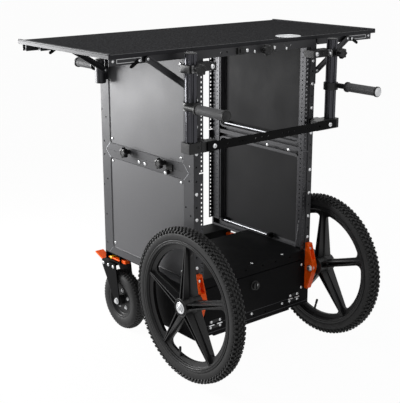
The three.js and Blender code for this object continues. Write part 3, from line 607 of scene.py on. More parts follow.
def button_head(radius, height, socket):
    """A button head screw that stands on z = 0, with a hexagon socket."""
    bm = spun([(radius * out, height * up) for out, up in DOME], steps=HEAD_STEPS)
    rim = [edge for edge in bm.edges if edge.is_boundary]
    hexagon = bmesh.ops.create_circle(bm, segments=HEAD_SIDES, radius=socket)["verts"]
    bmesh.ops.translate(bm, vec=(0, 0, height), verts=hexagon)
    ring = [edge for edge in bm.edges if edge.is_wire]
    bmesh.ops.bridge_loops(bm, edges=rim + ring)
    pushed = bmesh.ops.extrude_edge_only(bm, edges=ring)["geom"]
    bmesh.ops.translate(bm, vec=(0, 0, -height * SOCKET_SHARE), verts=only(VERT, pushed))
    bmesh.ops.holes_fill(bm, edges=only(EDGE, pushed), sides=HEAD_SIDES)
    return shape(bm)


def hex_head(radius, height, washer):
    """A hexagon head on a washer."""
    bm = bmesh.new()
    cylinder(bm, washer, WASHER, Matrix.Translation((0, 0, WASHER / 2)), WASHER_STEPS)
    head = cylinder(bm, radius, height, Matrix.Translation((0, 0, WASHER + height / 2)), HEAD_SIDES)
    top = [e for e in bm.edges if all(v in head and v.co.z > height for v in e.verts)]
    bmesh.ops.bevel(bm, geom=top, offset=CHAMFER, affect="EDGES", segments=1, profile=0.5, material=-1)
    return shape(bm)


screw_huge = button_head(7.8, 4.2, 2.4)
screw_large = button_head(6.3, 3.4, 1.9)
screw_small = button_head(4.8, 2.6, 1.5)
nut_small = hex_head(5.5, 4.0, 7.5)
nut_large = hex_head(9.0, 6.0, 12.0)
print("screw faces", len(screw_large.polygons), "nut faces", len(nut_small.polygons))

# %% [markdown]
# A place is a point and the direction that it faces. Lists of places serve screws and drilled
# holes alike. Each screw is rolled a little further than the one before, as real ones stop.

# %% Screws and holes at many places
FORWARD = (0, -1, 0)
BACKWARD = (0, 1, 0)
ROLL = 0.7
HOLE = 3.2
HOLE_LENGTH = 8.0


def screws(name, kept, places, body, look="bright_steel"):
    """One object that holds the same screw at many places."""
    bm = bmesh.new()
    for spot, (point, direction) in enumerate(places):
        stamp(bm, kept, aim(point, direction, spot * ROLL))
    return piece(name, bm, look, body)


def on_front(points, y=0.0):
    """Places on a face that looks to the front, from (x, z) points."""
    return [((x, y, z), FORWARD) for x, z in points]


def both(places):
    """The places on the right, and their mirror images on the left."""
    left = [((-x, y, z), (-a, b, c)) for (x, y, z), (a, b, c) in places]
    return [*places, *left]


def drills(places, radius=HOLE, length=HOLE_LENGTH, segments=14):
    """Cutters for round holes: cylinders centred on each place."""
    bm = bmesh.new()
    for point, direction in places:
        cylinder(bm, radius, length, aim(point, direction), segments)
    return bm


print("holes", HOLE * 2, "mm across")

# %% [markdown]
# The side frames are folded channels round a window. Blind holes run down the front flange and
# the outer stiles, for accessories, and every second flange hole carries a screw. The holes are
# really cut, because a black spot would not hold its shape when the light moves. Where stile and
# rail meet, a thin line of bright steel is a painted highlight along the mitred joint.

# %% Side frames
FLANGE_X = 256.0
FLANGE_SCREWS = (998, 919, 835, 748, 616, 531, 446, 367)
FLANGE_HOLES = (962, 876, 705, 658, 572, 488, 403)
STILE_HOLES = (
    (515, 821), (491, 797), (505, 708), (507, 660), (491, 572), (515, 547), (504, 437), (505, 329),
    (23, 706), (23, 657), (41, 567), (16, 543), (24, 845), (41, 884), (24, 437), (24, 345),
)
FRAME_BEVEL = 0.7
MITRE = 1.3
MITRE_PROUD = 0.25


def mitre(bm, y, z, edge, way):
    """A thin bright steel line on the side, from a panel's corner to the edge of its frame: a painted
    highlight along the mitre.
    """
    run = abs(edge - z) - MITRE
    line = block(bm, (half - MITRE, 0, -MITRE / 2), (half + MITRE_PROUD, run, MITRE / 2))
    turn = Matrix.Rotation(math.copysign(math.pi / 4, edge - z), 3, "X")
    bmesh.ops.scale(bm, vec=(1, math.sqrt(2), 1), verts=line)
    bmesh.ops.rotate(bm, cent=(0, 0, 0), matrix=turn, verts=line)
    bmesh.ops.scale(bm, vec=(1, way, 1), verts=line)
    bmesh.ops.translate(bm, vec=(0, y, z), verts=line)


for side, sign in SIDES.items():
    mitre_highlights = bmesh.new()
    for level in LEVELS:
        node = f"side_frame_{level}_{side}"
        low, high = span(node)
        spots = [((FLANGE_X * sign, 0, z), FORWARD) for z in FLANGE_HOLES]
        spots += [((half * sign, y, z), (sign, 0, 0)) for y, z in STILE_HOLES]
        spots = [spot for spot in spots if low.z < spot[0][2] < high.z]
        softened(node, "powder_coat", "cart", FRAME_BEVEL, cutters=drills(spots))
        pane_low, pane_high = span(f"side_panel_{level}_{side}")
        for y, way in ((pane_low.y, -1), (pane_high.y, 1)):
            mitre(mitre_highlights, y, pane_low.z, low.z, way)
            mitre(mitre_highlights, y, pane_high.z, high.z, way)
    # the mitre lines are bright steel: a painted highlight along the joints
    piece(f"frame_mitres_{side}", mitre_highlights, "grey_steel", "cart", side=sign)
flange_places = both(on_front([(FLANGE_X, z) for z in FLANGE_SCREWS]))
screws("flange_screws", screw_large, flange_places, "cart")
print("flange screws", len(flange_places), "stile holes", len(STILE_HOLES))

# %% [markdown]
# Each window holds a flat panel, held by four small screws at its corners. Two insets on its
# outer face give it a sloped border round a sunk field, and its inner face gets the darker matt
# finish, painted shade for the inside of the bay, by the way that the face points.

# %% Side panels
RIM = 0.8
BORDER = 1.4
SUNK = 2.0
PANEL_BEVEL = 0.6
FACES = 0.9
PANEL_INSET = 0.5 + SUNK
PANEL_SCREW_Y = (66, 457)
PANEL_SCREW_Z = {"lower": (339, 644), "upper": (725, 1026)}
panel_places = []
for level, heights in PANEL_SCREW_Z.items():
    for side, sign in SIDES.items():
        node = f"side_panel_{level}_{side}"
        sheet = copy_of(node)
        field = [face for face in sheet.faces if face.normal.x * sign > FACES]
        for width, sink in ((RIM, 0), (BORDER, -SUNK)):
            bmesh.ops.inset_region(
                sheet, faces=field, thickness=width, depth=sink, use_even_offset=True,
            )
        # faces that look into the bay get the painted shade finish
        for face in sheet.faces:
            face.material_index = int(face.normal.x * sign < -FACES)
        name = f"panel_{level}_{side}"
        piece(name, sheet, "panel_skin", "cart", (node,), PANEL_BEVEL, extra=("panel_back_painted_shade",))
    panel_places += [
        ((half - PANEL_INSET, y, z), (1, 0, 0)) for y in PANEL_SCREW_Y for z in heights
    ]
screws("panel_screws", screw_small, both(panel_places), "cart")
print("panel screws", len(panel_places) * 2)

# %% [markdown]
# Rack rails have the standard square holes at the front, which are in the CAD solid, and a
# second column of round holes in the flange that runs along the side frame.

# %% Rack rails
RACK_STARTS = (301.35, 689.65)
RACK_PITCH = 15.875
MODULE_HOLES = 24
ROUND_HOLE = 2.6
ROUND_STEPS = 10
RAIL_DRILL = 9.0
COLUMN_IN = 33.0
END_CLEAR = 8
heights = [start + RACK_PITCH * step for start in RACK_STARTS for step in range(MODULE_HOLES)]
for end, column in (("front", COLUMN_IN), ("rear", depth - COLUMN_IN)):
    for side, sign in SIDES.items():
        node = f"rack_rail_{end}_{side}"
        low, high = span(node)
        wall = max(low.x * sign, high.x * sign) * sign
        inside = [z for z in heights if low.z + END_CLEAR < z < high.z - END_CLEAR]
        spots = [((wall, column, z), (1, 0, 0)) for z in inside]
        holes = drills(spots, ROUND_HOLE, RAIL_DRILL, ROUND_STEPS)
        softened(node, "rail_anodised", "cart", 0.3, segments=1, cutters=holes)
print("round holes per rail", len(spots))

# %% [markdown]
# The top frame's front rail carries a row of small fittings: two latch blocks, a star knob,
# screws and a few blind holes.

# %% Top frame
TOP_HOLES = ((123, 1058), (149, 1058), (-155, 1057), (-130, 1057))
TOP_HOLE = 3.4
TOP_DRILL = 10.0
TOP_SCREWS = ((-46, 1056), (73, 1056))
TOP_SMALL = ((-13, 1050), (129, 1049))
LATCHES = (
    ((-92, -9, 1048), (-60, -0.1, 1068)), ((-84, -13, 1052), (-68, -8, 1064)),
    ((40, -7, 1046), (66, -0.1, 1066)),
)
top_holes = drills(on_front(TOP_HOLES), TOP_HOLE, TOP_DRILL)
softened("top_frame", "powder_coat", "cart", FRAME_BEVEL, cutters=top_holes)
screws("top_rail_screws", screw_large, on_front(TOP_SCREWS), "cart")
screws("top_rail_small_screws", screw_small, on_front(TOP_SMALL), "cart")
piece("top_rail_latch", boxes(*LATCHES), "moulded_black", "cart", bevel=1.2)
print("top frame done")

# %% [markdown]
# The work top is three boards. A copy of each CAD board keeps its shape, and its faces are given
# finishes by where they lie: felt on top, dark grey channel round the edge, and black anodised
# metal on the rails below.

# %% Work top boards
board_low, board_high = span("table_centre")
leaf_end, _, board_top = span("table_leaf_right")[1]
board_under = board_low.z
EDGE_FOOT = 1
UPRIGHT = 0.1


def dressed_board(node, body):
    """A copy of a board with felt on top, channel at the edge and anodised metal below."""
    bm = copy_of(node)
    for face in bm.faces:
        height = face.calc_center_median().z - board_under
        if face.normal.z > FACES and height > EDGE_FOOT:
            face.material_index = 0
        elif abs(face.normal.z) < UPRIGHT and height > EDGE_FOOT:
            face.material_index = 1
        else:
            face.material_index = 2
    piece(f"{node}_felt", bm, "carpet", body, (node,), 0.8, extra=("dark_edge", "rail_anodised"))


dressed_board("table_centre", "cart")
print("board", round(board_top - board_under, 1), "thick")

# %% [markdown]
# A thin channel holds each board's edge, and its lip stands a little above the felt. It is a slab
# from which the board's own shape is cut, then a mouth from above. The middle board's channel is
# open towards both leaves, where the seams are.

# %% Edge channels
LIP = 3.6
LIP_PROUD = 0.8
SKIN = 0.9


def channel(name, start, end, far_end_open, body, side=1):
    """An edge channel round the board between two X values. Its near end is always open."""
    front, back = board_low.y, board_high.y
    run = 2 * LIP
    slab_end = end + (0 if far_end_open else SKIN)
    core_end = end + (run if far_end_open else 0)
    mouth_end = end + (run if far_end_open else -LIP)
    slab = boxes(((start, front - SKIN, board_under), (slab_end, back + SKIN, board_top + LIP_PROUD)))
    core = boxes(((start - run, front, board_under - LIP), (core_end, back, board_top)))
    mouth = boxes(
        ((start - run, front + LIP, board_top - LIP), (mouth_end, back - LIP, board_top + LIP)),
    )
    cut = carve(carve(slab, core), mouth)
    piece(name, cut, "dark_edge", body, bevel=0.35, segments=1, side=side)


channel("centre_edge", board_low.x, board_high.x, True, "cart")
print("lip", LIP, "wide")

# %% [markdown]
# Each leaf is dressed like the middle board. It also has a raised lip at its far end, so that
# nothing rolls off, and a bright-edged slot in its front rail.

# %% Leaves
SEAM = 0.6
END_LIP = 4.5
END_LIP_ROOT = 2
RAIL_FACE = 15.0
RAIL_SCREW = (551, 1062)
SLOT_X = (450, 538)
SLOT_Y = (RAIL_FACE - 0.9, RAIL_FACE + 0.3)
SLOT_Z = (1054, 1067)
SLOT_CUT = (RAIL_FACE - 2, RAIL_FACE + 1)
SLOT_LIP = 1.6
for side, sign in SIDES.items():
    body = f"leaf_{side}"
    dressed_board(f"table_leaf_{side}", body)
    channel(f"leaf_edge_{side}", board_high.x + SEAM, leaf_end, False, body, sign)
    lip = boxes((
        (leaf_end - LIP * 2, board_low.y - SKIN, board_top - END_LIP_ROOT),
        (leaf_end + SKIN, board_high.y + SKIN, board_top + END_LIP),
    ))
    piece(f"leaf_lip_{side}", lip, "dark_edge", body, bevel=1.6, segments=3, side=sign)
    slot = boxes(tuple(zip(SLOT_X, SLOT_Y, SLOT_Z)))
    hollow = boxes((
        (SLOT_X[0] + SLOT_LIP, SLOT_CUT[0], SLOT_Z[0] + SLOT_LIP),
        (SLOT_X[1] - SLOT_LIP, SLOT_CUT[1], SLOT_Z[1] - SLOT_LIP),
    ))
    piece(f"rail_slot_{side}", carve(slot, hollow), "edge_trim", body, bevel=0.4, side=sign)
    x, z = RAIL_SCREW
    screws(f"rail_screw_{side}", screw_small, on_front([(x * sign, z)], RAIL_FACE), body)
print("leaves end at", round(leaf_end))

# %% [markdown]
# A round cable port is let into the top at the right front. Its cover is left plain.

# %% Cable port
PORT = (182, 47)
PORT_RADIUS = 43.0
PORT_STEPS = 64
cover = [
    (0, 0.9), (30, 0.9), (31, 1.5), (33, 1.5), (34, 0.9), (36, 0.9), (37, 2.0),
    (PORT_RADIUS - 1.2, 2.0), (PORT_RADIUS, 1.0), (PORT_RADIUS, -1.0), (0, -1.0),
]
port = spun(cover, Matrix.Translation((*PORT, board_top)), PORT_STEPS)
piece("cable_port", port, "edge_trim", "cart")
print("port", PORT_RADIUS * 2, "mm across")

# %% [markdown]
# Four grooved braces prop the leaves, and four small levers lock them. A rivet shows at each
# pivot. The rear catches carry theirs on their rear face, clear of the brace that swings past.

# %% Braces and catches
for side in SIDES:
    for end in ENDS:
        softened(f"brace_{end}_{side}", "brace_finish", f"brace_{end}_{side}", 0.8)
        softened(f"catch_{end}_{side}", "matt_coat", f"catch_{end}_{side}", 0.7)
GROOVE = 2.8
BRACE_PINS = {
    "front": ((282, 3, 962), (432.4, 3, 1060)),
    "rear": ((288, 448.5, 967), (441.5, 448.5, 1060)),
}
CATCH_PINS = {"front": (459.4, 1058), "rear": (468.5, 1058)}
CATCH_FRONT = 10.6
for side, sign in SIDES.items():
    for end, pins in BRACE_PINS.items():
        spots = [((x * sign, y + GROOVE, z), FORWARD) for x, y, z in pins]
        screws(f"brace_pins_{end}_{side}", screw_small, spots, f"brace_{end}_{side}")
        x, z = CATCH_PINS[end]
        face = ((x * sign, CATCH_FRONT, z), FORWARD)
        if end == "rear":
            face = ((x * sign, span(f"catch_rear_{side}")[1].y, z), BACKWARD)
        screws(f"catch_pin_{end}_{side}", screw_small, [face], f"catch_{end}_{side}")
print("braces and catches done")

# %% [markdown]
# Two long posts stand ahead of the rack, each a black anodised tube with eight flutes, which
# read as dark and bright stripes. The flutes are a circle's vertices pushed in, group by group,
# before it is extruded. A moulded cap closes each open end, and two short plain posts carry the
# rear handles.

# %% Posts
POST = (307, -38.5)
REAR_POST = (292, 478)
CAP_RADIUS = 17.5
CAP = [(0, 0), (CAP_RADIUS, 0), (CAP_RADIUS, 1.4), (CAP_RADIUS - 1.6, 2.6), (0, 2.6)]
CAP_SUNK = 0.1
FLUTES = 8
FLUTE_DEPTH = 3.4
FLUTE_SHARE = 0.46
FLUTE_PHASE = math.radians(22.5)
TUBE_STEPS = 96


def fluted_tube(name, node, sign):
    """A fluted tube in the place of a CAD post."""
    low, high = span(node)
    radius = (high.x - low.x) / 2
    bm = bmesh.new()
    ring = bmesh.ops.create_circle(bm, cap_ends=True, segments=TUBE_STEPS, radius=radius)["verts"]
    for vert in ring:
        turn = math.atan2(vert.co.y, vert.co.x) - FLUTE_PHASE
        place = abs((turn * FLUTES / math.tau + 0.5) % 1 - 0.5) * 2
        if place < FLUTE_SHARE:
            vert.co *= 1 - FLUTE_DEPTH / radius
    raise_faces(bm, (0, 0, high.z - low.z))
    foot = ((low.x + high.x) / 2 * sign, (low.y + high.y) / 2, low.z)
    bmesh.ops.translate(bm, vec=foot, verts=bm.verts)
    piece(name, bm, "post_anodised", "cart", (node,), 0.4, 1, sign)


for side, sign in SIDES.items():
    fluted_tube(f"front_tube_{side}", f"post_front_{side}", sign)
    softened(f"post_rear_{side}", "rail_anodised", "cart", 0.6)
    rear_low, rear_high = span(f"post_rear_{side}")
    post_top = span(f"post_front_{side}")[1].z
    caps = bmesh.new()
    for spot, z, way in ((POST, post_top, 1), (REAR_POST, rear_high.z, 1), (REAR_POST, rear_low.z, -1)):
        turn_profile(caps, CAP, aim((*spot, z - CAP_SUNK * way), (0, 0, way)))
    piece(f"post_caps_{side}", caps, "moulded_black", "cart", side=sign)
print("posts done")

# %% [markdown]
# Each front post is held by an upper clamp with a star knob and a lower clamp that also carries
# the accessory bar. Silver screws fix them to the rack. The right clamp block carries a bright
# square plate on its inner side. The left one carries a thin bright steel strip in front, which is a
# painted highlight on the black clamp.

# %% Clamps and bar
for side in SIDES:
    softened(f"upper_clamp_{side}", "black_oxide", "cart", 1.0)
    softened(f"lower_clamp_{side}", "black_oxide", "cart", 1.0)
softened("accessory_bar", "matt_coat", "cart", 0.7)
bar_low, bar_high = span("accessory_bar")
clamp_low, clamp_high = span("upper_clamp_right")
clamp_middle = (clamp_low.z + clamp_high.z) / 2
CLAMP_ARM = -45.0
ARM_SCREW_X = 228
ARM_DARK_X = 258
LOWER_DARK = (294, -61, 785)
BAR_SCREWS = ((-236, 783.7), (281, 783.7))
PLATE_X = (281.6, 283.2)
PLATE_Y = (clamp_low.y + 1, CLAMP_ARM + 0.5)
PLATE_Z = (1015.5, 1037.5)
CLAMP_HIGHLIGHT_X = (-322, -314)
STRIP_Y = (clamp_low.y - 0.8, clamp_low.y + 0.2)
clamp_places = both(on_front([(ARM_SCREW_X, clamp_middle)], CLAMP_ARM))
screws("clamp_screws", screw_huge, clamp_places + on_front(BAR_SCREWS, bar_low.y), "cart")
dark_places = both([*on_front([(ARM_DARK_X, clamp_middle)], CLAMP_ARM), (LOWER_DARK, FORWARD)])
screws("clamp_dark_screws", screw_small, dark_places, "cart", "black_oxide")
plate = boxes(tuple(zip(PLATE_X, PLATE_Y, PLATE_Z)))
plate_middle = (PLATE_X[0], (clamp_low.y + CLAMP_ARM) / 2, clamp_middle)
stamp(plate, screw_small, aim(plate_middle, (-1, 0, 0)))
piece("clamp_plate_right", plate, "bright_steel", "cart", bevel=0.5)
# a painted highlight: a thin bright steel strip on the front of the left clamp
strip = boxes(tuple(zip(CLAMP_HIGHLIGHT_X, STRIP_Y, PLATE_Z)))
piece("clamp_highlight_left", strip, "bright_steel", "cart", bevel=0.4)
print("bar from", round(bar_low.x), "to", round(bar_high.x))

# %% [markdown]
# A grip is a ribbed rubber sleeve between two collars. It is spun from one profile, whose ribs
# are a loop, so their number follows the grip's length.

# %% Grips
GRIP_RADIUS = 15.0
GRIP_STEPS = 36
COLLAR_RADIUS = 17.5
COLLAR = 7.0
COLLAR_ROUND = 0.8
COLLAR_STEPS = 40
RIB = 3.4
RIB_DEPTH = 0.45
OVERLAP = 0.5
DISC = COLLAR_RADIUS - 2.6
collar_profile = [
    (0, 0), (COLLAR_RADIUS - COLLAR_ROUND, 0), (COLLAR_RADIUS, COLLAR_ROUND),
    (COLLAR_RADIUS, COLLAR - COLLAR_ROUND), (COLLAR_RADIUS - COLLAR_ROUND, COLLAR), (0, COLLAR),
]
disc_profile = [
    (0, 0), (DISC - 3, 0), (DISC - 2.4, -0.4), (DISC - 1.8, 0), (DISC, 0), (DISC, -3), (0, -3),
]


def grip_profile(length):
    """A ribbed sleeve between its two collars, as (radius, distance along)."""
    valley = GRIP_RADIUS - RIB_DEPTH
    profile = [(0, COLLAR - OVERLAP), (GRIP_RADIUS - 0.6, COLLAR - OVERLAP)]
    for rib in range(int((length - 2 * COLLAR) / RIB)):
        start = COLLAR + rib * RIB
        profile += [(valley, start), (GRIP_RADIUS, start + RIB / 4), (GRIP_RADIUS, start + RIB * 3 / 4)]
    return [*profile, (valley, length - COLLAR), (0, length - COLLAR)]


print("points in a grip 100 mm long", len(grip_profile(100)))

# %% [markdown]
# A handle's arm and ring are a copy of the CAD solid, cut off at the grip with a plane. Sleeve,
# collars and an end disc are added there. The left front disc is black, as in the photograph.

# %% Handles
DISC_PROUD = 0.3
FRONT_GRIP = ((328.5, -92.5, 911.6), FORWARD, 137.0)
REAR_GRIP = ((292.0, 510.0, 977.6), BACKWARD, 112.0)


def handle(name, body, node, grip, side, disc_look="edge_trim"):
    """Arm, rubber sleeve, collars and end disc of one handle."""
    point, direction, length = grip
    arm = copy_of(node)
    if side < 0:
        bmesh.ops.scale(arm, vec=(-1, 1, 1), verts=arm.verts)
    bmesh.ops.bisect_plane(
        arm, geom=[*arm.verts, *arm.edges, *arm.faces], dist=0.001,
        plane_co=(0, point[1] + direction[1] * OVERLAP, 0), plane_no=direction, clear_outer=True,
    )
    bmesh.ops.holes_fill(arm, edges=[e for e in arm.edges if e.is_boundary], sides=0)
    piece(f"{name}_arm", arm, "moulded_black", body, (node,), 0.8, 2, side)

    def along(distance):
        return aim(Vector(point) + Vector(direction) * distance, direction)

    sleeve = spun(grip_profile(length), along(0), GRIP_STEPS)
    piece(f"{name}_grip", sleeve, "grip_rubber", body, side=side)
    collars = bmesh.new()
    for start in (0, length - COLLAR - OVERLAP):
        turn_profile(collars, collar_profile, along(start), COLLAR_STEPS)
    piece(f"{name}_collars", collars, "moulded_black", body, side=side)
    disc = spun(disc_profile, along(length + DISC_PROUD), COLLAR_STEPS)
    piece(f"{name}_disc", disc, disc_look, body, side=side)


for side, sign in SIDES.items():
    disc_look = "edge_trim" if side == "right" else "moulded_black"
    front = f"handle_front_{side}"
    rear = f"handle_rear_{side}"
    handle(front, f"handle_{side}", front, FRONT_GRIP, sign, disc_look)
    handle(rear, "cart", rear, REAR_GRIP, sign)
print("handles done")

# %% [markdown]
# A star knob is a circle whose vertices are drawn in and out seven times, then raised ring by
# ring. Scaling each ring about its middle keeps the lobes clear of each other, where an inset
# would cross them. Its face has a shallow dish, and a spun boss joins it to what it clamps.

# %% Star knobs
KNOB = 16.4
WAVE = 2.0
LOBES = 7
STEPS_PER_LOBE = 10
STUD = 13.0
KNOB_RINGS = (
    (0.0, 0.62), (1.4, 0.9), (3.4, 1.0), (14.0, 1.0), (16.6, 0.94), (17.8, 0.8), (17.8, 0.56),
    (16.4, 0.48),
)
BOSS = [(0, -0.4), (8.4, -0.4), (8.4, 3), (7.4, 4), (8.8, STUD - 1), (10.4, STUD + 1), (0, STUD + 1)]


def star_knob(name, node, direction):
    """A seven-lobed knob in the place of its CAD node, standing in the given direction."""
    low, high = span(node)
    axis = Vector(direction)
    base = (low + high) / 2 - axis * abs((high - low).dot(axis)) / 2
    bm = bmesh.new()
    ring = bmesh.ops.create_circle(bm, segments=LOBES * STEPS_PER_LOBE, radius=KNOB)["verts"]
    for vert in ring:
        turn = math.atan2(vert.co.y, vert.co.x)
        vert.co *= 1 + WAVE / KNOB * math.cos(LOBES * turn)
    lobed = [vert.co.copy() for vert in ring]
    bottom = edges = bm.edges[:]
    for height, share in KNOB_RINGS:
        for vert, outline in zip(ring, lobed):
            vert.co = Vector((outline.x * share, outline.y * share, STUD + height))
        if (height, share) != KNOB_RINGS[-1]:
            lifted = bmesh.ops.extrude_edge_only(bm, edges=edges)["geom"]
            edges = only(EDGE, lifted)
            ring = only(VERT, lifted)
    bmesh.ops.holes_fill(bm, edges=[*bottom, *edges], sides=0)
    bmesh.ops.transform(bm, matrix=aim(base, direction), verts=bm.verts)
    piece(name, bm, "moulded_black", node, (node,))
    piece(f"{name}_boss", spun(BOSS, aim(base, direction)), "moulded_black", node)


for side in SIDES:
    star_knob(f"clamp_star_{side}", f"clamp_knob_{side}", FORWARD)
star_knob("top_star", "top_knob", FORWARD)
for end in ENDS:
    star_knob(f"side_star_{end}", f"side_knob_{end}", (-1, 0, 0))
print("knobs done")

# %% [markdown]
# Two brushed tie rods run along the right wall, each held by a black clip at both ends. They are
# the CAD solids with rounded edges; a face near an end belongs to a clip.

# %% Tie rods
CLIP = 13.0
for level in LEVELS:
    node = f"tie_rod_{level}"
    rod = copy_of(node)
    rod_low, rod_high = span(node)
    for face in rod.faces:
        along = face.calc_center_median().y
        face.material_index = int(min(along - rod_low.y, rod_high.y - along) < CLIP)
    piece(f"{node}_shell", rod, "grey_steel", "cart", (node,), 0.5, extra=("matt_coat",))
print("tie rods", round(rod_high.y - rod_low.y), "long")

# %% [markdown]
# The base is a sheet box with a lid and a door that drops to the front. Screws and blind holes
# dot its edges. Thin anodised strips catch the light near the box's lower edge, on the tray
# under it and at the foot of the door, where they stop short of the hinges.

# %% Base box
TRAY_HOLES = ((-1, 131), (56, 131))
FRAME_SCREWS = ((230, 267), (230, 180), (136, 141), (-11, 141))
LID_SCREWS = ((2, 16), (146, 16))
LIP_HOLES = (-150, -96, -40, 40, 100, 170)
LIP_DROP = 12
HINGES = ((162, 218), (-208, -149))
HINGE_CLEAR = 3
EDGE_IN = 4
DOOR_STRIP_Y = (-0.3, 0.5)
DOOR_STRIP_Z = (1, 2.6)
STRIP_HEIGHT = 2.2
STRIP_Y = (-0.9, -0.05)
TRAY_HALF = 174
TRAY_FRONT = 6
TRAY_RISE = 1
BOX_RISE = 19
lid_low, lid_high = span("base_lid")
door_low, door_high = span("base_door")
chassis_low = span("base_chassis")[0]
softened("base_chassis", "matt_coat", "cart", 0.7, cutters=drills(on_front(TRAY_HOLES)))
lip_places = on_front([(x, lid_high.z - LIP_DROP) for x in LIP_HOLES], lid_low.y)
softened("base_lid", "matt_coat", "cart", 1.2, cutters=drills(lip_places))
softened("base_door", "matt_coat", "door", 0.9)
strip_y = [door_low.y + out for out in DOOR_STRIP_Y]
strip_z = [door_low.z + rise for rise in DOOR_STRIP_Z]
door_strips = [
    tuple(zip(run, strip_y, strip_z)) for run in (
        (door_low.x + EDGE_IN, HINGES[1][0] - HINGE_CLEAR),
        (HINGES[1][1] + HINGE_CLEAR, HINGES[0][0] - HINGE_CLEAR),
    )
]
piece("door_edge", boxes(*door_strips), "rail_anodised", "door", bevel=0.3)
base_strips = [
    ((-reach, front + STRIP_Y[0], low), (reach, front + STRIP_Y[1], low + STRIP_HEIGHT))
    for reach, front, low in (
        (TRAY_HALF, TRAY_FRONT, chassis_low.z + TRAY_RISE), (half - EDGE_IN, 0, chassis_low.z + BOX_RISE),
    )
]
piece("base_sill", boxes(*base_strips), "rail_anodised", "cart", bevel=0.3)
screws("lid_screws", screw_small, [((x, y, lid_high.z), (0, 0, 1)) for x, y in LID_SCREWS], "cart")
screws("door_frame_screws", screw_small, on_front(FRAME_SCREWS), "cart")
print("door", [round(v) for v in (*door_low, *door_high)], "chassis from", round(chassis_low.z))

# %% [markdown]
# The door drops on two hinges. Each has a black leaf on the box, a black flap on the door and a
# bright knuckle pin between them.

# %% Door hinges
LEAF_Y = (-1.6, -0.1)
LEAF_Z = (136, 147.5)
FLAP_Y = (-3.4, -2.05)
FLAP_Z = (156.5, 168)
FLAP_IN = 2
PIN = (-3.2, 149.4)
PIN_RADIUS = 2.2
PIN_STEPS = 14
PIN_SHIFT = 0.3
PIN_SHARE = 0.38
LEAF_SCREW = (9, 141)
FLAP_SCREW = (11, 162)
for number, (start, end) in enumerate(HINGES, 1):
    fixed = boxes(tuple(zip((start, end), LEAF_Y, LEAF_Z)))
    piece(f"hinge_leaf_{number}", fixed, "black_oxide", "cart", bevel=0.4)
    pin = bmesh.new()
    width = end - start
    for shift in (-PIN_SHIFT, PIN_SHIFT):
        knuckle = aim(((start + end) / 2 + width * shift, *PIN), (1, 0, 0))
        cylinder(pin, PIN_RADIUS, width * PIN_SHARE, knuckle, PIN_STEPS)
    inward, height = LEAF_SCREW
    for x in (start + inward, end - inward):
        stamp(pin, screw_small, aim((x, LEAF_Y[0], height), FORWARD))
    piece(f"hinge_pin_{number}", pin, "bright_steel", "cart")
    moving = boxes(tuple(zip((start + FLAP_IN, end - FLAP_IN), FLAP_Y, FLAP_Z)))
    piece(f"hinge_flap_{number}", moving, "black_oxide", "door", bevel=0.4)
    inward, height = FLAP_SCREW
    flap_screws = on_front([(start + inward, height), (end - inward, height)], FLAP_Y[0])
    screws(f"hinge_flap_screws_{number}", screw_small, flap_screws, "door")
print("hinges done")

# %% [markdown]
# The lock is a black dial in the middle of the door: a spun knob with a finger bar across it and
# a bright mark at one end of the bar. It turns on its own body.

# %% Lock dial
DIAL = 15.0
DIAL_Z = 245
DIAL_STEPS = 48
FINGER = (2.6, 11.5)
FINGER_ROOT = 12
MARK_HALF = 0.9
MARK_Y = (-0.25, 0.3)
MARK_Z = (247, 255)
knurl = [
    (0, 0), (DIAL + 2, 0), (DIAL + 2, 1.5), (DIAL - 1, 2.2), (DIAL - 1, 11), (DIAL - 2.4, 12.2), (0, 12.2),
]
dial_low, dial_high = span("lock_dial")
dial = spun(knurl, aim((0, dial_high.y, DIAL_Z), FORWARD), DIAL_STEPS)
width, reach = FINGER
block(
    dial, (-width, dial_low.y, DIAL_Z - reach), (width, dial_high.y - FINGER_ROOT, DIAL_Z + reach),
)
piece("lock_dial_knob", dial, "moulded_black", "dial", ("lock_dial",), 0.5)
mark_y = [dial_low.y + out for out in MARK_Y]
mark = boxes(tuple(zip((-MARK_HALF, MARK_HALF), mark_y, MARK_Z)))
piece("lock_dial_mark", mark, "edge_trim", "dial")
print("dial done")

# %% [markdown]
# The front wheels turn on stub axles in orange brackets. A bracket is a six-point plate with a
# pocket cut in its front edge for two screws. The axle, its spacer and nut are bright steel.

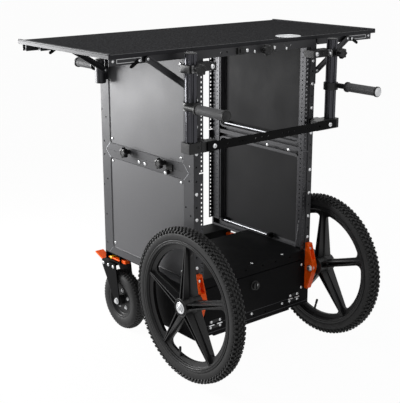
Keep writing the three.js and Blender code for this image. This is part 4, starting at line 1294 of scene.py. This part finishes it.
# %% Axle brackets
WHEEL = Vector((310, -26, 260))
BRACKET_OUTLINE = ((-0.3, 174), (-0.3, 347), (-14.5, 347), (-40, 270), (-40, 255), (-14.5, 174))
BRACKET_X = (245, 267)
BRACKET_SCREWS = ((257, 326), (257, 300))
POCKET = ((249.5, -50, 288), (263.5, -13, 338))
SPINDLE = [(0, 0), (8, 0), (8, 5), (15, 5), (15, 8), (12, 8), (12, 26), (0, 26)]
SPINDLE_STEPS = 28
STUB = [(0, 0), (8, 0), (8, 76), (0, 76)]
STUB_X = 271
STUB_STEPS = 20
NUT_DROP = 3
for side, sign in SIDES.items():
    plate = bmesh.new()
    plate.faces.new([plate.verts.new((BRACKET_X[0], y, z)) for y, z in BRACKET_OUTLINE])
    raise_faces(plate, (BRACKET_X[1] - BRACKET_X[0], 0, 0))
    bmesh.ops.recalc_face_normals(plate, faces=plate.faces)
    plate = carve(plate, boxes(POCKET))
    piece(f"bracket_{side}", plate, "orange", "cart", (f"axle_bracket_{side}",), 1.4, 3, sign)
    axle = spun(SPINDLE, aim((BRACKET_X[0], *WHEEL.yz), (1, 0, 0)), SPINDLE_STEPS)
    turn_profile(axle, STUB, aim((STUB_X, *WHEEL.yz), (1, 0, 0)), STUB_STEPS)
    stamp(axle, nut_large, aim((BRACKET_X[0], WHEEL.y, WHEEL.z - NUT_DROP), (-1, 0, 0)))
    for point, direction in on_front(BRACKET_SCREWS, POCKET[1][1]):
        stamp(axle, screw_large, aim(point, direction))
    piece(f"axle_pin_{side}", axle, "bright_steel", "cart", bevel=0.3, segments=1, side=sign)
print("brackets done")

# %% [markdown]
# The tread of a knobbly tyre is hundreds of rubber blocks. A bump map would leave the tyre's
# outline smooth, so they are real: one tapered block is made once and stamped round a ring.

# %% Tread blocks
BLOCK_CHAMFER = 0.7
ALONG_X = Matrix(((0, 0, 1, 0), (1, 0, 0, 0), (0, 1, 0, 0), (0, 0, 0, 1)))


def tread_block(length, width, height, taper):
    """A tapered block: length round the tyre, width across it, height outwards along +Z."""
    bm = bmesh.new()
    corners = bmesh.ops.create_cube(bm, size=1)["verts"]
    bmesh.ops.scale(bm, vec=(length, width, height), verts=corners)
    top = [vert for vert in corners if vert.co.z > 0]
    bmesh.ops.scale(bm, vec=(taper, taper, 1), verts=top)
    edges = [edge for edge in bm.edges if all(vert in top for vert in edge.verts)]
    bmesh.ops.bevel(
        bm, geom=edges, offset=BLOCK_CHAMFER, affect="EDGES", segments=1, profile=0.5, material=-1,
    )
    return shape(bm)


def tread(bm, kept, count, radius, offset, tilt, phase):
    """Stamps a ring of blocks round local Z. tilt leans a block out towards its side."""
    stand = Matrix.Translation((radius, 0, offset)) @ Matrix.Rotation(math.pi / 2 - tilt, 4, "Y")
    for number in range(count):
        turn = math.tau * (number + phase) / count
        spin = Matrix.Rotation(turn, 4, "Z")
        stamp(bm, kept, spin @ stand @ Matrix.Rotation(math.pi / 2, 4, "Z"))


middle_block = tread_block(8.6, 7.0, 7.0, 0.86)
edge_block = tread_block(8.8, 10.5, 9.0, 0.84)
side_lug = tread_block(6.4, 9.0, 5.0, 0.76)
print("block faces", len(middle_block.polygons))

# %% [markdown]
# A large tyre is one spun profile with seven rings of 92 blocks on it: three in the middle, and
# an edge ring and a side ring on each flank. Neighbouring rings are half a step apart, so the
# blocks stagger as they do on the real tyre.

# %% Large tyres
BLOCKS = 92
TYRE_STEPS = 96
MIDDLE_RADIUS = 256.3
MIDDLE_FALL = 0.18
MIDDLE_LEAN = 1.6
EDGE_RING = (251.2, 16.6, math.radians(40))
SIDE_RING = (246.0, 19.8, math.radians(62))
TYRE_BEAD = [(214.6, -17.6), (221, -19.2), (223, -20.6)]


def tyre_profile(bead, centre, radial, axial, step, count):
    """A tyre's closed profile: the bead on one side, an arc over the crown, and the other bead."""
    turns = [math.radians(step) * number for number in range(-count, count + 1)]
    crown = [(centre + radial * math.cos(turn), axial * math.sin(turn)) for turn in turns]
    far_bead = [(radius, -along) for radius, along in reversed(bead)]
    return [*bead, *crown, *far_bead, bead[0]]


wheel_place = Matrix.Translation(WHEEL) @ ALONG_X
large_profile = tyre_profile(TYRE_BEAD, 235.0, 18.8, 21.0, 11.5, 7)
for side, sign in SIDES.items():
    tyre = spun(large_profile, steps=TYRE_STEPS)
    for offset, phase in ((0.0, 0.0), (9.2, 0.5), (-9.2, 0.5)):
        radius = MIDDLE_RADIUS - abs(offset) * MIDDLE_FALL
        tread(tyre, middle_block, BLOCKS, radius, offset, math.radians(offset * MIDDLE_LEAN), phase)
    for way in (-1, 1):
        for block_mesh, (radius, offset, tilt), phase in (
            (edge_block, EDGE_RING, 0.0), (side_lug, SIDE_RING, 0.5),
        ):
            tread(tyre, block_mesh, BLOCKS, radius, offset * way, tilt * way, phase)
    bmesh.ops.transform(tyre, matrix=wheel_place, verts=tyre.verts)
    name = f"tyre_tread_{side}"
    piece(name, tyre, "tyre_rubber", f"wheel_{side}", (f"tyre_{side}",), side=sign)
print("tyre blocks", BLOCKS * 7)

# %% [markdown]
# A rim is a moulded ring with a web in its middle plane. Five rounded triangles in the web leave
# the spokes. A triangle's long sides lie parallel to the spokes, and a vertex bevel rounds its
# corners. All five are cut at once, because one cut is safer than five in a row.

# %% Windows between the spokes
SPOKES = 5
WEB_RADIUS = 188.0
SPOKE_HALF = 14.0
CORNER = 23.0
CORNER_STEPS = 7
WINDOW_STEPS = 5
CUT_HALF = 20.0
step_angle = math.tau / SPOKES


def web_windows():
    """One cutter that holds all five rounded triangles between the spokes."""
    windows = bmesh.new()
    spread = step_angle / 2 - math.asin(SPOKE_HALF / WEB_RADIUS)
    for number in range(SPOKES):
        bm = bmesh.new()
        corners = [bm.verts.new((SPOKE_HALF / math.sin(step_angle / 2), 0, -CUT_HALF))]
        for step in range(-WINDOW_STEPS, WINDOW_STEPS + 1):
            along = spread * step / WINDOW_STEPS
            point = (WEB_RADIUS * math.cos(along), WEB_RADIUS * math.sin(along), -CUT_HALF)
            corners.append(bm.verts.new(point))
        bm.faces.new(corners)
        bmesh.ops.bevel(
            bm, geom=[corners[1], corners[-1]], offset=CORNER, affect="VERTICES",
            segments=CORNER_STEPS, profile=0.5, material=-1, clamp_overlap=True,
        )
        raise_faces(bm, (0, 0, CUT_HALF * 2))
        turned = math.pi / 2 + step_angle * (number + 0.5)
        stamp(windows, shape(bm), Matrix.Rotation(turned, 4, "Z"))
    return windows


print("spokes", SPOKES, "every", round(math.degrees(step_angle)), "degrees")

# %% [markdown]
# Two tapered ribs stiffen each spoke on both faces, far apart at the hub and together at the
# rim. A rib is a cube whose corners are moved, because it grows lower and leans on its way out.

# %% Ribs and web
WEB_HALF = 4.5
WEB_INNER = 20.0
WEB_OUTER = 206.0
WEB_STEPS = 96
RIB_NEAR = (25.0, 32.0, 8.6)
RIB_FAR = (204.0, 15.0, 2.4)
RIB_ROOT = 1.0
RIB_FOOT = 3.2
RIB_CREST = 1.9


def rib(bm, turn, way, lean):
    """One thin tapered rib of a spoke. Two of them meet at the rim and leave a groove between."""
    corners = bmesh.ops.create_cube(bm, size=2)["verts"]
    for vert in corners:
        reach, height, offset = RIB_FAR if vert.co.x > 0 else RIB_NEAR
        foot = vert.co.z < 0
        thick = RIB_FOOT if foot else RIB_CREST
        across = lean * offset + math.copysign(thick, vert.co.y)
        vert.co = Vector((reach, across, (RIB_ROOT if foot else height) * way))
    bmesh.ops.rotate(bm, cent=(0, 0, 0), matrix=Matrix.Rotation(turn, 3, "Z"), verts=corners)


def spoked_web():
    """The disc between hub and rim, with its five windows and the spokes' ribs."""
    disc = [
        (WEB_INNER, WEB_HALF), (WEB_OUTER, WEB_HALF), (WEB_OUTER, -WEB_HALF),
        (WEB_INNER, -WEB_HALF), (WEB_INNER, WEB_HALF),
    ]
    web = carve(spun(disc, steps=WEB_STEPS), web_windows(), join=False)
    for number in range(SPOKES):
        for way in (-1, 1):
            for lean in (-1, 1):
                rib(web, math.pi / 2 + step_angle * number, way, lean)
    return web


print("ribs", SPOKES * 4)

# %% [markdown]
# Hub and rim are spun onto the web. The rim is drawn for one face and mirrored for the other.
# Bright steel shows where the hub's bearing race and the axle's nut sit, and a valve stem points
# inwards from the rim.

# %% Rims
RIM_STEPS = 96
HUB_STEPS = 48
HUB = 31.0
RACE_STEPS = 40
AXLE_CAP = ((0, 0), (12, 0), (12, 2.4), (10.6, 4.0), (0, 4.0))
AXLE_CAP_X = 346.2
AXLE_NUT_X = 350.2
VALVE_STEPS = 16


def mirrored(profile):
    """A profile, then the same one back on the other side of height zero."""
    return [*profile, *((radius, -height) for radius, height in reversed(profile))]


rim_half = [
    (219, 18.3), (219, 20.4), (217.6, 21), (214.4, 20.9), (213.6, 19.4), (211.8, 19.4), (211, 20.6),
    (207.5, 20.2), (206, 18.8), (204.5, 14), (202.6, 13), (201.6, 8.6), (196, 6.4),
    (WEB_RADIUS + 2, WEB_HALF),
]
rim_profile = [*mirrored(rim_half), (207.4, -16), (207.4, 16), rim_half[0]]
hub_profile = [
    (9, 33), (21, 33), (22, 36), (24, 36), (25, 34), (28, 34), (29, 36), (HUB - 1, 36), (HUB, 35),
    (HUB, 10), (HUB + 6, 5), (HUB + 6, -5), (HUB, -10), (HUB, -37), (HUB - 1, -38), (9, -38), (9, 33),
]
race = [(12.6, 33), (12.6, 37), (14, 38), (18.5, 38), (20, 36.6), (20, 33), (12.6, 33)]
stem = [(0, 0), (4.2, 0), (4.2, 12), (3.4, 16), (3.4, 20), (4.4, 21), (4.4, 36), (3.4, 38), (0, 38)]
valve_place = wheel_place @ aim((38, -190, 9), (-0.2, 1, 0.12))
for side, sign in SIDES.items():
    body = f"wheel_{side}"
    web = spoked_web()
    turn_profile(web, rim_profile, steps=RIM_STEPS)
    turn_profile(web, hub_profile, steps=HUB_STEPS)
    bmesh.ops.transform(web, matrix=wheel_place, verts=web.verts)
    piece(f"rim_spokes_{side}", web, "moulded_black", body, (f"rim_{side}",), 1.0, 2, sign)
    cap = spun(race, wheel_place, RACE_STEPS)
    piece(f"hub_cap_{side}", cap, "bright_steel", body, side=sign)
    nut = spun(AXLE_CAP, aim((AXLE_CAP_X, *WHEEL.yz), (1, 0, 0)))
    stamp(nut, nut_small, aim((AXLE_NUT_X, *WHEEL.yz), (1, 0, 0)))
    piece(f"axle_nut_{side}", nut, "bright_steel", "cart", side=sign)
    valve = spun(stem, valve_place, VALVE_STEPS)
    piece(f"valve_{side}", valve, "moulded_black", body, side=sign)
print("rims done")

# %% [markdown]
# The rear casters have a dark dished wheel with a ring of bright nuts, and a tyre with four
# rings of low blocks, made as the large tyres are.

# %% Caster wheels
CASTER = Vector((233, 455, 112.5))
CASTER_BLOCKS = 56
CASTER_STEPS = 72
MIDDLE_RING = (110.4, 5.2, math.radians(6))
OUTER_RING = (106.4, 15.4, math.radians(34))
DISH_STEPS = 64
DISH_NUTS = 5
NUT_RING = 34
NUT_FACE = 8
NUT_TURN = 0.3
CASTER_BEAD = [(66, -20), (70, -23.5)]
caster_place = Matrix.Translation(CASTER) @ ALONG_X
caster_profile = tyre_profile(CASTER_BEAD, 86, 24.2, 26.5, 13, 6)
dish_half = [
    (6.6, 30.2), (19, 30.2), (20, 29), (20, 9), (24, 8), (55, 8), (58, 12), (60, 19), (62, 21),
    (66.5, 21.5), (68, 20), (66.4, 18),
]
dish = [*mirrored(dish_half), dish_half[0]]
small_block = tread_block(6.6, 8.0, 3.4, 0.85)
outer_block = tread_block(5.8, 9.5, 3.6, 0.8)


def caster_wheel(side, sign):
    """Tyre, dish and nuts of one caster wheel."""
    node = f"caster_wheel_{side}"
    tyre = spun(caster_profile, steps=CASTER_STEPS)
    for way, phase in ((1, 0.0), (-1, 0.5)):
        radius, offset, tilt = MIDDLE_RING
        tread(tyre, small_block, CASTER_BLOCKS, radius, offset * way, tilt * way, phase)
        radius, offset, tilt = OUTER_RING
        tread(tyre, outer_block, CASTER_BLOCKS, radius, offset * way, tilt * way, 0.25)
    bmesh.ops.transform(tyre, matrix=caster_place, verts=tyre.verts)
    piece(f"caster_tyre_{side}", tyre, "tyre_rubber", node, (node,), side=sign)
    hub = spun(dish, caster_place, DISH_STEPS)
    piece(f"caster_dish_{side}", hub, "moulded_black", node, bevel=0.8, side=sign)
    ring = bmesh.new()
    for way in (-1, 1):
        for number in range(DISH_NUTS):
            turn = math.tau * number / DISH_NUTS + NUT_TURN
            spot = (NUT_RING * math.cos(turn), NUT_RING * math.sin(turn), NUT_FACE * way)
            stamp(ring, nut_small, aim(caster_place @ Vector(spot), (way, 0, 0), turn))
    piece(f"caster_wheel_nuts_{side}", ring, "bright_steel", node, side=sign)


print("caster blocks", CASTER_BLOCKS * 4)

# %% [markdown]
# A folded fork holds each caster wheel, with three screws and the axle's nut on each side. An
# orange pedal works the brake, and an orange lever with a yellow tip locks the swivel.

# %% Caster forks, pedals and levers
FORK_FACES = ((268.1, 1), (197.9, -1))
FORK_SCREW_Y = (536, 504, 473)
FORK_SCREW_Z = 241
LOCK_LEVER = (((241, 428, 267), (261, 512, 272)), ((241, 404, 267), (261, 432, 279)))
LOCK_TIP = ((239.6, 488, 266), (262.4, 504, 275))
for side, sign in SIDES.items():
    caster_wheel(side, sign)
    softened(f"caster_fork_{side}", "matt_coat", f"caster_{side}", 0.9)
    metal = bmesh.new()
    for x, way in FORK_FACES:
        for y in FORK_SCREW_Y:
            stamp(metal, screw_large, aim((x, y, FORK_SCREW_Z), (way, 0, 0)))
        stamp(metal, nut_large, aim((x, *CASTER.yz), (way, 0, 0)))
    piece(f"caster_bolts_{side}", metal, "bright_steel", f"caster_{side}", side=sign)
    softened(f"brake_pedal_{side}", "orange", f"pedal_{side}", 1.2)
    lever = boxes(*LOCK_LEVER)
    piece(f"swivel_lock_{side}", lever, "orange", "cart", bevel=1.5, segments=3, side=sign)
    tip = boxes(LOCK_TIP)
    piece(f"swivel_lock_tip_{side}", tip, "vinyl", "cart", bevel=2.0, segments=3, side=sign)
print("casters done")

# %% [markdown]
# A few small fittings sit on the left side, by the two star knobs: a hook bracket and bright
# screws. Inside, bright screws show on the right wall's middle rails.

# %% Small fittings
HOOK = (((267.1, 107, 672), (272, 140, 696)), ((267.1, 124, 661), (279, 138, 676)))
HOOK_SCREW = (-279, 131, 666)
SIDE_SCREWS = ((294, 670), (259, 670))
WALL_SCREWS = ((205, 672), (95, 672))
WALL_X = 245
piece("side_hook", boxes(*HOOK), "moulded_black", "cart", bevel=1.6, segments=3, side=-1)
side_points = [*((-half, y, z) for y, z in SIDE_SCREWS), HOOK_SCREW]
screws("side_screws", screw_large, [(point, (-1, 0, 0)) for point in side_points], "cart")
inner_wall = [((WALL_X, y, z), (-1, 0, 0)) for y, z in WALL_SCREWS]
screws("wall_screws", screw_large, inner_wall, "cart")
print("fittings done")

# %% [markdown]
# The floor is a plain pale sheet. It catches the soft shadow, and to the camera it glows a
# little, so that it runs into the white background without more light on the cart. The world is
# white only where it is seen, directly or in a mirror, and dim as a light.

# %% Floor and background
FLOOR_SIZE = 45.0
FLOOR_GLOW = 0.97
WORLD_LIGHT = 0.2


def seen_only(tree):
    """One for rays that come from the camera, or through a mirror or glass, else zero."""
    path = add(tree, "ShaderNodeLightPath").outputs
    seen = path["Is Camera Ray"]
    for kind in ("Is Glossy Ray", "Is Transmission Ray"):
        seen = add(tree, "ShaderNodeMath", {0: seen, 1: path[kind]}, operation="MAXIMUM").outputs[0]
    return seen


floor_finish = bpy.data.materials.new("pale_studio_floor")
floor_finish.use_nodes = True
tree = floor_finish.node_tree
tree.nodes.clear()
sheet = add(tree, "ShaderNodeBsdfDiffuse", {"Color": linear("#f4f4f4")}).outputs[0]
glow = add(tree, "ShaderNodeEmission", {"Color": linear("#ffffff"), "Strength": 1.0}).outputs[0]
share = add(tree, "ShaderNodeMath", {0: seen_only(tree), 1: FLOOR_GLOW}, operation="MULTIPLY")
mixed = add(tree, "ShaderNodeMixShader", {0: share.outputs[0], 1: sheet, 2: glow})
add(tree, "ShaderNodeOutputMaterial", {"Surface": mixed.outputs[0]})
floor_bm = bmesh.new()
bmesh.ops.create_grid(floor_bm, x_segments=2, y_segments=2, size=FLOOR_SIZE)
floor = stand_in("studio_floor", floor_bm)
floor.data.materials.append(floor_finish)

world = bpy.data.worlds.new("studio")
scene.world = world
world.use_nodes = True
tree = world.node_tree
tree.nodes.clear()
room, white = (
    add(tree, "ShaderNodeBackground", {"Color": linear("#ffffff"), "Strength": strength}).outputs[0]
    for strength in (WORLD_LIGHT, 1.0)
)
shown = add(tree, "ShaderNodeMixShader", {0: seen_only(tree), 1: room, 2: white})
add(tree, "ShaderNodeOutputWorld", {"Surface": shown.outputs[0]})
print("floor and world done")

# %% [markdown]
# Black goods are lit by what they mirror. A soft lamp stands close by at the left rear and
# grazes the left panels, so they glow at the back and fade towards the front as in the
# photograph. Two larger, weaker ones fill the top and the front.

# %% Lights
def soft_light(name, place, target, size, watts):
    """A square area light that faces a target. Places are in metres."""
    data = bpy.data.lights.new(name, "AREA")
    data.shape = "SQUARE"
    data.size = size
    data.energy = watts
    lamp = put_in_scene(name, data)
    lamp.location = place
    lamp.rotation_mode = "QUATERNION"
    lamp.rotation_quaternion = (Vector(target) - Vector(place)).to_track_quat("-Z", "Y")


CART_MIDDLE = (0, 0, 0.6)
LEFT_PANELS = (-0.27, 0.33, 0.83)
soft_light("left_rear_box", (-1.05, 1.6, 0.95), LEFT_PANELS, 0.9, 60)
soft_light("top_box", (-0.6, -0.4, 3.4), CART_MIDDLE, 2.2, 40)
soft_light("front_fill", (0.8, -4.2, 1.6), CART_MIDDLE, 2.0, 14)
print("lights", len(bpy.data.lights))

# %% [markdown]
# The camera stands where the photograph was taken from. Its place and lens come from a pinhole
# fit to the rack's standard hole pitch, the wheels and the table's edges.

# %% Camera
CAMERA_PLACE = (-2.0317, -2.3647, 1.4109)
CAMERA_TURN = (73.86, 0.15, -39.22)
SENSOR = 36.0
FRAME_WIDTH, FRAME_HEIGHT = 400, 403
FOCAL_PIXELS = 922.27
FAR_CLIP = 60
camera_data = bpy.data.cameras.new("camera")
camera_data.sensor_width = SENSOR
camera_data.sensor_fit = "AUTO"
camera_data.lens = FOCAL_PIXELS * SENSOR / max(FRAME_WIDTH, FRAME_HEIGHT)
camera_data.clip_end = FAR_CLIP
camera = put_in_scene("camera", camera_data)
camera.location = CAMERA_PLACE
camera.rotation_euler = [math.radians(angle) for angle in CAMERA_TURN]
scene.camera = camera
scene.view_settings.view_transform = "Standard"
print("lens", round(camera_data.lens, 2), "mm")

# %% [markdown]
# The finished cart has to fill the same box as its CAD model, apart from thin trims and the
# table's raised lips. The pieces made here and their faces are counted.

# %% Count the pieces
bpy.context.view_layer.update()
faces = sum(len(made.data.polygons) for made in made_pieces)
print("pieces", len(made_pieces), "base faces", faces)
